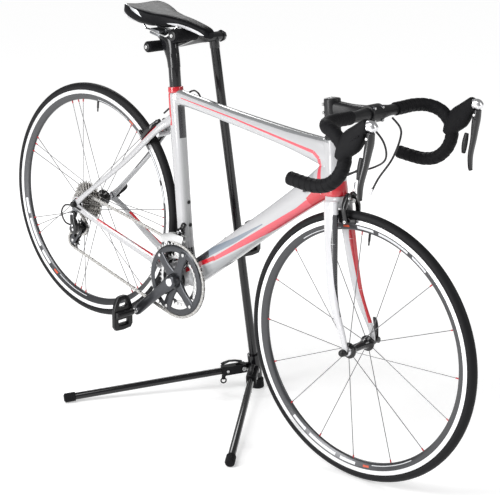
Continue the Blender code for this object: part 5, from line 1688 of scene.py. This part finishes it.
def capsule(start, end, radius, sides=9):
    start, end = Vector(start), Vector(end)
    heading = atan2(end.y - start.y, end.x - start.x)
    points = []
    for centre, turn in ((start, pi / 2), (end, -pi / 2)):
        for i in range(sides):
            angle = heading + turn + pi * i / (sides - 1)
            points.append((centre.x + radius * cos(angle), centre.y + radius * sin(angle)))
    return points


loop = [
    Vector(p)
    for p in chain_loop(
        [
            ((BB.x, BB.z), pitch_radius(RING_TEETH), 1), ((0, 0), pitch_radius(COG_TEETH), 1),
            ((GUIDE.x, GUIDE.z), pitch_radius(PULLEY_TEETH), -1),
            ((TENSION.x, TENSION.z), pitch_radius(PULLEY_TEETH), 1),
        ],
        0,
    )
]
spans = [(b - a).length for a, b in zip(loop, loop[1:] + loop[:1])]
total = sum(spans)
count = 2 * round(total / CHAIN_PITCH / 2)
places, walked, i = [], 0.0, 0
for k in range(count):
    goal = total * k / count
    while walked + spans[i] < goal:
        walked += spans[i]
        i += 1
    places.append(loop[i].lerp(loop[(i + 1) % len(loop)], (goal - walked) / max(spans[i], 1e-9)))
plates_mesh, rollers = bmesh.new(), bmesh.new()
for k, place in enumerate(places):
    there = places[(k + 1) % count]
    run = (there - place).normalized()
    middle_y = 0.0019 if k % 2 else 0.0026
    for side in (-1, 1):
        outline = []
        normal = Vector((-run.y, run.x))
        for s in range(20):
            angle = 2 * pi * s / 20
            c, d = cos(angle), sin(angle)
            waist = 0.004 * (0.78 + 0.22 * min(1, abs(c) * 1.6))
            point = (place + there) / 2 + run * (c * (CHAIN_PITCH / 2 + 0.0036)) + normal * (
                copysign(abs(d) ** 0.7, d) * waist
            )
            outline.append(point)
        near = [
            plates_mesh.verts.new((p.x, -CHAIN_LINE + side * (middle_y - 0.0004), p.y)) for p in outline
        ]
        far = [plates_mesh.verts.new((p.x, -CHAIN_LINE + side * (middle_y + 0.0004), p.y)) for p in outline]
        plates_mesh.faces.new(near)
        plates_mesh.faces.new(far[::-1])
        for s in range(20):
            plates_mesh.faces.new((near[s], far[s], far[(s + 1) % 20], near[(s + 1) % 20]))
    lathe_into(
        rollers,
        [
            (0, -0.0031), (0.0018, -0.0031), (0.0018, -0.0014), (0.0036, -0.0014), (0.0036, 0.0014),
            (0.0018, 0.0014), (0.0018, 0.0031), (0, 0.0031),
        ],
        (place.x, -CHAIN_LINE, place.y), ACROSS, 12,
    )
put("chain_plates", plates_mesh, COGS, "bike", "chain")
put("chain_rollers", rollers, STEEL, "bike")


def sprocket_into(mesh, centre, teeth, y, thick, bore, holes=(), turn=0.0):
    flat_into(
        mesh, [toothed(centre, teeth, turn=turn), circle(centre, bore, 48), *holes], y - thick / 2,
        y + thick / 2, 0.0002,
    )


CRANK_ANGLE = atan2(RIGHT_PEDAL.z - BB.z, RIGHT_PEDAL.x - BB.x)
RIGHT_OUT = Vector((cos(CRANK_ANGLE), 0, sin(CRANK_ANGLE)))
big, small = pitch_radius(RING_TEETH), pitch_radius(SMALL_RING_TEETH)
mesh = bmesh.new()
sprocket_into(mesh, (BB.x, BB.z), RING_TEETH, -CHAIN_LINE, 0.0022, big - 0.0135)
sprocket_into(mesh, (BB.x, BB.z), SMALL_RING_TEETH, -CHAIN_LINE + 0.0072, 0.0022, small - 0.011)
put("ring_teeth", mesh, STEEL, "cranks", "right_crank")
mesh = bmesh.new()
lathe_into(
    mesh,
    [
        (big - 0.004, -CHAIN_LINE - 0.0011), (big - 0.008, -CHAIN_LINE - 0.0046),
        (big - 0.0215, -CHAIN_LINE - 0.0056), (big - 0.0225, -CHAIN_LINE - 0.004),
        (big - 0.014, -CHAIN_LINE - 0.0011),
    ],
    mid_plane(BB), ACROSS, 96, 0.0006,
)
for k, degrees in enumerate((28, 94, 208, 274)):
    angle = CRANK_ANGLE + radians(degrees)
    way = Vector((cos(angle), 0, sin(angle)))
    start = Vector((BB.x, -CHAIN_LINE - 0.0035, BB.z))
    loft_into(
        mesh,
        [
            along(start, way, 0.012, 0.019, 0.0052), along(start, way, 0.045, 0.0125, 0.0044),
            along(start, way, big - 0.022, 0.0135, 0.0036), along(start, way, big - 0.013, 0.01, 0.003),
        ],
        sides=28, power=3.2,
    )
lathe_into(
    mesh, [(0, -0.0385), (0.02, -0.0385), (0.021, -0.056), (0.018, -0.07), (0.012, -0.0728), (0, -0.0728)],
    mid_plane(BB), ACROSS, 48, 0.0015,
)
put("spider", mesh, GREY, "cranks")
mesh = bmesh.new()
for degrees in (28, 94, 208, 274):
    angle = CRANK_ANGLE + radians(degrees)
    way = Vector((cos(angle), 0, sin(angle)))
    bolt_into(
        mesh, Vector((BB.x, -CHAIN_LINE - 0.007, BB.z)) + way * (big - 0.0185), (0, -1, 0), 0.0046, 0.002,
    )
    bolt_into(
        mesh, Vector((BB.x, CHAIN_LINE * -1 + 0.0084, BB.z)) + way * (small - 0.008), ACROSS, 0.004, 0.0016,
    )
put("ring_bolts", mesh, STEEL, "cranks")


def crank_shape(name, way, y, cad_nodes):
    centre = Vector((BB.x, y, BB.z))
    mesh = bmesh.new()
    loft_into(
        mesh,
        [
            along(centre, way, -0.014, 0.014, 0.0066), along(centre, way, 0.012, 0.0185, 0.0068),
            along(centre, way, 0.04, 0.0155, 0.007), along(centre, way, 0.085, 0.0132, 0.0066),
            along(centre, way, CRANK - 0.014, 0.0142, 0.006),
            along(centre, way, CRANK + 0.006, 0.0125, 0.0057),
            along(centre, way, CRANK + 0.0125, 0.008, 0.0052),
        ],
        sides=40, power=3.0,
    )
    put(name, mesh, GREY, "cranks", *cad_nodes)


crank_shape("right_crank_arm", RIGHT_OUT, -0.0655, ())
crank_shape("left_crank_arm", -RIGHT_OUT, 0.0655, ("left_crank",))
mesh = bmesh.new()
rod_into(mesh, (BB.x, -0.042, BB.z), (BB.x, 0.058, BB.z), 0.0118, 32)
lathe_into(
    mesh, [(0, 0.0548), (0.019, 0.0548), (0.019, 0.07), (0.015, 0.0724), (0, 0.0724)], mid_plane(BB),
    ACROSS, 40, 0.0015,
)
put("axle_and_boss", mesh, GREY, "cranks")
mesh = bmesh.new()
bolt_into(mesh, (BB.x, -0.0722, BB.z), (0, -1, 0), 0.011, 0.0022, 0.6)
bolt_into(mesh, (BB.x, 0.0718, BB.z), ACROSS, 0.01, 0.0022, 0.6)
for pedal, side in ((RIGHT_PEDAL, -1), (LEFT_PEDAL, 1)):
    rod_into(mesh, (pedal.x, side * 0.059, pedal.z), (pedal.x, side * 0.0735, pedal.z), 0.0074, 24)
put("crank_caps", mesh, SILVER, "cranks")
mesh = bmesh.new()
for side in (-1, 1):
    lathe_into(
        mesh,
        [
            (0.013, side * 0.0335), (0.0215, side * 0.0335), (0.0215, side * 0.0385), (0.019, side * 0.04),
            (0.013, side * 0.04),
        ],
        mid_plane(BB), ACROSS, 48, 0.0008,
    )
put("bearing_cups", mesh, SATIN, "bike")

for label, place, side in (("right", RIGHT_PEDAL, -1), ("left", LEFT_PEDAL, 1)):
    body = label + "_pedal"
    middle = side * 0.114
    hang = Matrix.Translation(mid_plane(place)) @ Matrix.Rotation(-radians(90) - PITCH, 4, "Y")
    mesh = bmesh.new()
    rim = [
        (0.05, 0.008), (0.047, 0.018), (0.03, 0.028), (0.012, 0.033), (-0.034, 0.033), (-0.044, 0.026),
        (-0.046, 0.0),
    ]
    outline = rim + [(x, -y) for x, y in reversed(rim[:-1])]
    toe = [
        (0.038, 0.006), (0.032, 0.013), (0.021, 0.014), (0.019, 0), (0.021, -0.014), (0.032, -0.013),
        (0.038, -0.006),
    ]
    heel = [(-0.016, 0.018), (-0.034, 0.018), (-0.035, 0), (-0.034, -0.018), (-0.016, -0.018)]
    flat_into(mesh, [outline, toe, heel], -0.014, -0.003, 0.0012)
    bmesh.ops.transform(
        mesh, verts=mesh.verts[:],
        matrix=Matrix.Translation((0, middle, 0)) @ Matrix.Rotation(radians(-90), 4, "X"),
    )
    rod_into(mesh, (0, side * 0.0845, 0), (0, side * 0.144, 0), 0.0094, 32, 0.0012)
    block_into(mesh, (-0.036, middle, 0.013), (0.016, 0.046, 0.009), soft=0.002)
    bmesh.ops.transform(mesh, verts=mesh.verts[:], matrix=hang)
    put(body + "_platform", mesh, SATIN, body, body)
    mesh = bmesh.new()
    rod_into(mesh, (0, side * 0.0732, 0), (0, side * 0.0845, 0), 0.0064, 24)
    rod_into(mesh, (-0.036, middle - 0.026, 0.014), (-0.036, middle + 0.026, 0.014), 0.0024, 14)
    block_into(mesh, (0.006, middle, 0.0142), (0.014, 0.044, 0.0012), soft=0.0004)
    bmesh.ops.transform(mesh, verts=mesh.verts[:], matrix=hang)
    put(body + "_metal", mesh, STEEL, body)

mesh = bmesh.new()
for k in range(11):
    share = k / 10
    y = 0.0225 + 0.0037 * k
    teeth = (28, 25, 23, 21, 19, 17, 15, 15, 14, 13, 12)[k]
    if abs(y - CHAIN_LINE) < 0.0012:
        teeth = COG_TEETH
    sprocket_into(mesh, (0, 0), teeth, -y, 0.0017, max(0.0175, pitch_radius(teeth) - 0.016))
put("cogs", mesh, COGS, "cassette", "cassette")
mesh = bmesh.new()
lathe_into(
    mesh,
    [
        (0.0165, -0.0205), (0.018, -0.0205), (0.018, -0.06), (0.0205, -0.061), (0.0195, -0.0628),
        (0.0165, -0.0628),
    ],
    (0, 0, 0), ACROSS, 48, 0.0005,
)
put("lock_ring", mesh, SILVER, "cassette")

for label, place in (("guide", GUIDE), ("tension", TENSION)):
    mesh = bmesh.new()
    holes = [
        circle((place.x + 0.013 * cos(a), place.z + 0.013 * sin(a)), 0.0028, 16)
        for a in (2 * pi * k / 5 for k in range(5))
    ]
    sprocket_into(mesh, (place.x, place.z), PULLEY_TEETH, -CHAIN_LINE, 0.002, 0.0048, holes)
    lathe_into(
        mesh, [(0.0036, -0.0024), (0.0066, -0.0024), (0.0066, 0.0024), (0.0036, 0.0024)],
        (place.x, -CHAIN_LINE, place.z), ACROSS, 28, 0.0005,
    )
    put(label + "_jockey", mesh, SATIN, label + "_pulley", label + "_pulley")
outer, inner = CHAIN_LINE + 0.0052, CHAIN_LINE - 0.0052
guide2, tension2 = Vector((GUIDE.x, GUIDE.z)), Vector((TENSION.x, TENSION.z))
window = capsule(guide2.lerp(tension2, 0.36), guide2.lerp(tension2, 0.68), 0.0048)
mesh = bmesh.new()
flat_into(mesh, [capsule(guide2, tension2, 0.0115, 17), window], -outer, -outer - 0.0018)
flat_into(mesh, [capsule(guide2, tension2, 0.0105, 17), window], -inner, -inner + 0.0015)
put("cage_plates", mesh, GREY, "bike", "derailleur_cage")
mesh = bmesh.new()
for place in (GUIDE, TENSION):
    rod_into(mesh, (place.x, -outer - 0.0016, place.z), (place.x, -inner + 0.0016, place.z), 0.003, 20)
    bolt_into(mesh, (place.x, -outer - 0.0016, place.z), (0, -1, 0), 0.0045, 0.0014)
put("pulley_bolts", mesh, STEEL, "bike")
link_y = -0.079
mesh = bmesh.new()
loft_into(
    mesh,
    [
        (0.006, link_y, -0.03, 0.01, 0.0058), (0.009, link_y - 0.001, -0.04, 0.01, 0.006),
        (0.015, link_y - 0.001, -0.05, 0.0118, 0.0074), (0.02, link_y + 0.001, -0.064, 0.012, 0.0082),
        (0.017, link_y + 0.004, -0.078, 0.0095, 0.008),
    ],
    sides=32, power=3.0,
)
rod_into(mesh, (GUIDE.x, link_y - 0.0045, GUIDE.z), (GUIDE.x, -outer - 0.0021, GUIDE.z), 0.0125, 40, 0.0015)
rod_into(mesh, (0.0055, link_y - 0.003, -0.029), (0.0055, link_y + 0.0075, -0.029), 0.0098, 36, 0.0012)
put("derailleur_links", mesh, GLOSS, "bike", "rear_derailleur")
mesh = bmesh.new()
bolt_into(mesh, (0.0055, link_y - 0.003, -0.029), (0, -1, 0), 0.0064, 0.0022, 0.55)
bolt_into(mesh, (0.018, link_y - 0.0086, -0.056), (0, -1, 0), 0.0034, 0.0016)
bolt_into(mesh, (0.02, link_y - 0.0064, -0.068), (0, -1, 0), 0.0034, 0.0016)
put("derailleur_bolts", mesh, SILVER, "bike")

clear = big + 0.0065
first, last = radians(88), radians(128)
mesh = bmesh.new()
for y, thick in ((-CHAIN_LINE - 0.0062, 0.0012), (-CHAIN_LINE + 0.0062, 0.0012)):
    angles = [first + (last - first) * i / 20 for i in range(21)]
    outline = [(BB.x + clear * cos(a), BB.z + clear * sin(a)) for a in angles]
    outline += [
        (
            BB.x + (clear + 0.022 - 0.005 * abs(a - 1.9)) * cos(a),
            BB.z + (clear + 0.022 - 0.005 * abs(a - 1.9)) * sin(a),
        )
        for a in reversed(angles)
    ]
    flat_into(mesh, [outline], y, y + thick, 0.0004)
for angle, radius in ((first + 0.05, clear + 0.0195), (last - 0.05, clear + 0.003)):
    place = (BB.x + radius * cos(angle), BB.z + radius * sin(angle))
    rod_into(
        mesh, (place[0], -CHAIN_LINE - 0.0057, place[1]), (place[0], -CHAIN_LINE + 0.0072, place[1]),
        0.0022, 12,
    )
put("front_cage", mesh, STEEL, "bike", "front_derailleur")
mesh = bmesh.new()
hang = Vector((
    BB.x + (clear + 0.017) * cos(radians(101)), -CHAIN_LINE + 0.0117,
    BB.z + (clear + 0.02) * sin(radians(101)),
))
block_into(mesh, hang, (0.022, 0.011, 0.022), Matrix.Rotation(0.3, 3, "Y"), 0.0025)
block_into(
    mesh, hang + Vector((-0.004, 0.01, 0.01)), (0.012, 0.012, 0.034), Matrix.Rotation(0.3, 3, "Y"), 0.0025,
)
put("front_links", mesh, GLOSS, "bike")
mesh = bmesh.new()
bolt_into(mesh, hang + Vector((-0.002, -0.0055, 0.002)), (0, -1, 0), 0.0046, 0.002)
bolt_into(mesh, hang + Vector((0.004, -0.005, 0.01)), (0, -1, 0), 0.0028, 0.0016)
put("front_link_bolts", mesh, SILVER, "bike")
# bottle bolts on the seat tube's front and the down tube's top
mesh = bmesh.new()
for share in (0.4, 0.28):
    place = BB + SEAT_UP * (SEAT_TUBE * share) - SEAT_BACK * 0.0202
    bolt_into(mesh, place, -SEAT_BACK, 0.005, 0.0026)
low, high = BB + Vector((0.01, 0, 0.004)), CROWN + STEER_UP * 0.05
climb = (high - low).normalized()
above = Vector((-climb.z, 0, climb.x))
for share in (0.3, 0.42):
    bolt_into(mesh, low.lerp(high, share) + above * 0.0305, above, 0.005, 0.0026)
put("bottle_bolts", mesh, SATIN, "bike")


# ---------------------------------------------------------------- stage, light and camera
# The floor glows: painted light. Its emission rises from 0.34 within 0.6 m of the world origin to 0.72 at 3
# m. This keeps the floor white where the lamps fall off, and the glow also lights the bicycle.
floor_mesh = bmesh.new()
bmesh.ops.create_grid(floor_mesh, x_segments=1, y_segments=1, size=30)
FLOOR = made_object(
    "studio_floor", floor_mesh, Matrix.Identity(4),
    paint("studio_white_glow", (0.85, 0.85, 0.85), 0.8, grain=0.02), sharp=None,
)
glow = FLOOR.data.materials[0].node_tree.nodes["Principled BSDF"]
glow.inputs["Emission Color"].default_value = (1, 1, 1, 1)
far = node(FLOOR.data.materials[0].node_tree, "ShaderNodeTexCoord")
reach = node(FLOOR.data.materials[0].node_tree, "ShaderNodeVectorMath", operation="LENGTH")
FLOOR.data.materials[0].node_tree.links.new(far.outputs["Object"], reach.inputs[0])
spread = node(FLOOR.data.materials[0].node_tree, "ShaderNodeMapRange")
for slot, value in (("From Min", 0.6), ("From Max", 3.0), ("To Min", 0.34), ("To Max", 0.72)):
    spread.inputs[slot].default_value = value
FLOOR.data.materials[0].node_tree.links.new(reach.outputs["Value"], spread.inputs["Value"])
FLOOR.data.materials[0].node_tree.links.new(spread.outputs["Result"], glow.inputs["Emission Strength"])

WORLD = bpy.data.worlds.new("studio")
WORLD.use_nodes = True
WORLD.node_tree.nodes["Background"].inputs["Color"].default_value = (1, 1, 1, 1)
RAYS = WORLD.node_tree.nodes.new("ShaderNodeLightPath")
BRIGHT = math_node(WORLD.node_tree, "MULTIPLY_ADD", RAYS.outputs["Is Camera Ray"], 0.7, 0.3)
WORLD.node_tree.links.new(BRIGHT, WORLD.node_tree.nodes["Background"].inputs["Strength"])
bpy.context.scene.world = WORLD
bpy.context.scene.view_settings.view_transform = "Standard"


def soft_light(name, place, target, size, power):
    data = bpy.data.lights.new(name, "AREA")
    data.shape = "RECTANGLE"
    data.size, data.size_y = size
    data.energy = power
    made = bpy.data.objects.new(name, data)
    made.location = place
    made.rotation_euler = (Vector(target) - Vector(place)).to_track_quat("-Z", "Y").to_euler()
    bpy.context.scene.collection.objects.link(made)
    return made


soft_light("key", (0.4, -2.6, 3.6), (0, 0, 0.5), (1.8, 1.8), 66)
soft_light("strip", (-0.9, -3.0, 1.5), (0, 0, 0.7), (1.1, 2.6), 90)
soft_light("fill", (3.2, 1.0, 2.2), (0, 0, 0.5), (1.0, 1.6), 30)
soft_light("back", (-2.4, 1.8, 2.6), (0, 0, 0.6), (1.6, 1.0), 28)

LENS = bpy.data.cameras.new("camera")
LENS.lens = 95.16
LENS.sensor_width = 36
LENS.shift_x = 0.011
LENS.shift_y = -0.128
LENS.clip_end = 200
CAMERA = bpy.data.objects.new("camera", LENS)
CAMERA.location = (REAR.x + 2.7978, REAR.y - 2.4151, 1.4158)
CAMERA.rotation_euler = Vector((-0.6595, 0.7189, -0.2195)).to_track_quat("-Z", "Y").to_euler()
bpy.context.scene.collection.objects.link(CAMERA)
bpy.context.scene.camera = CAMERA
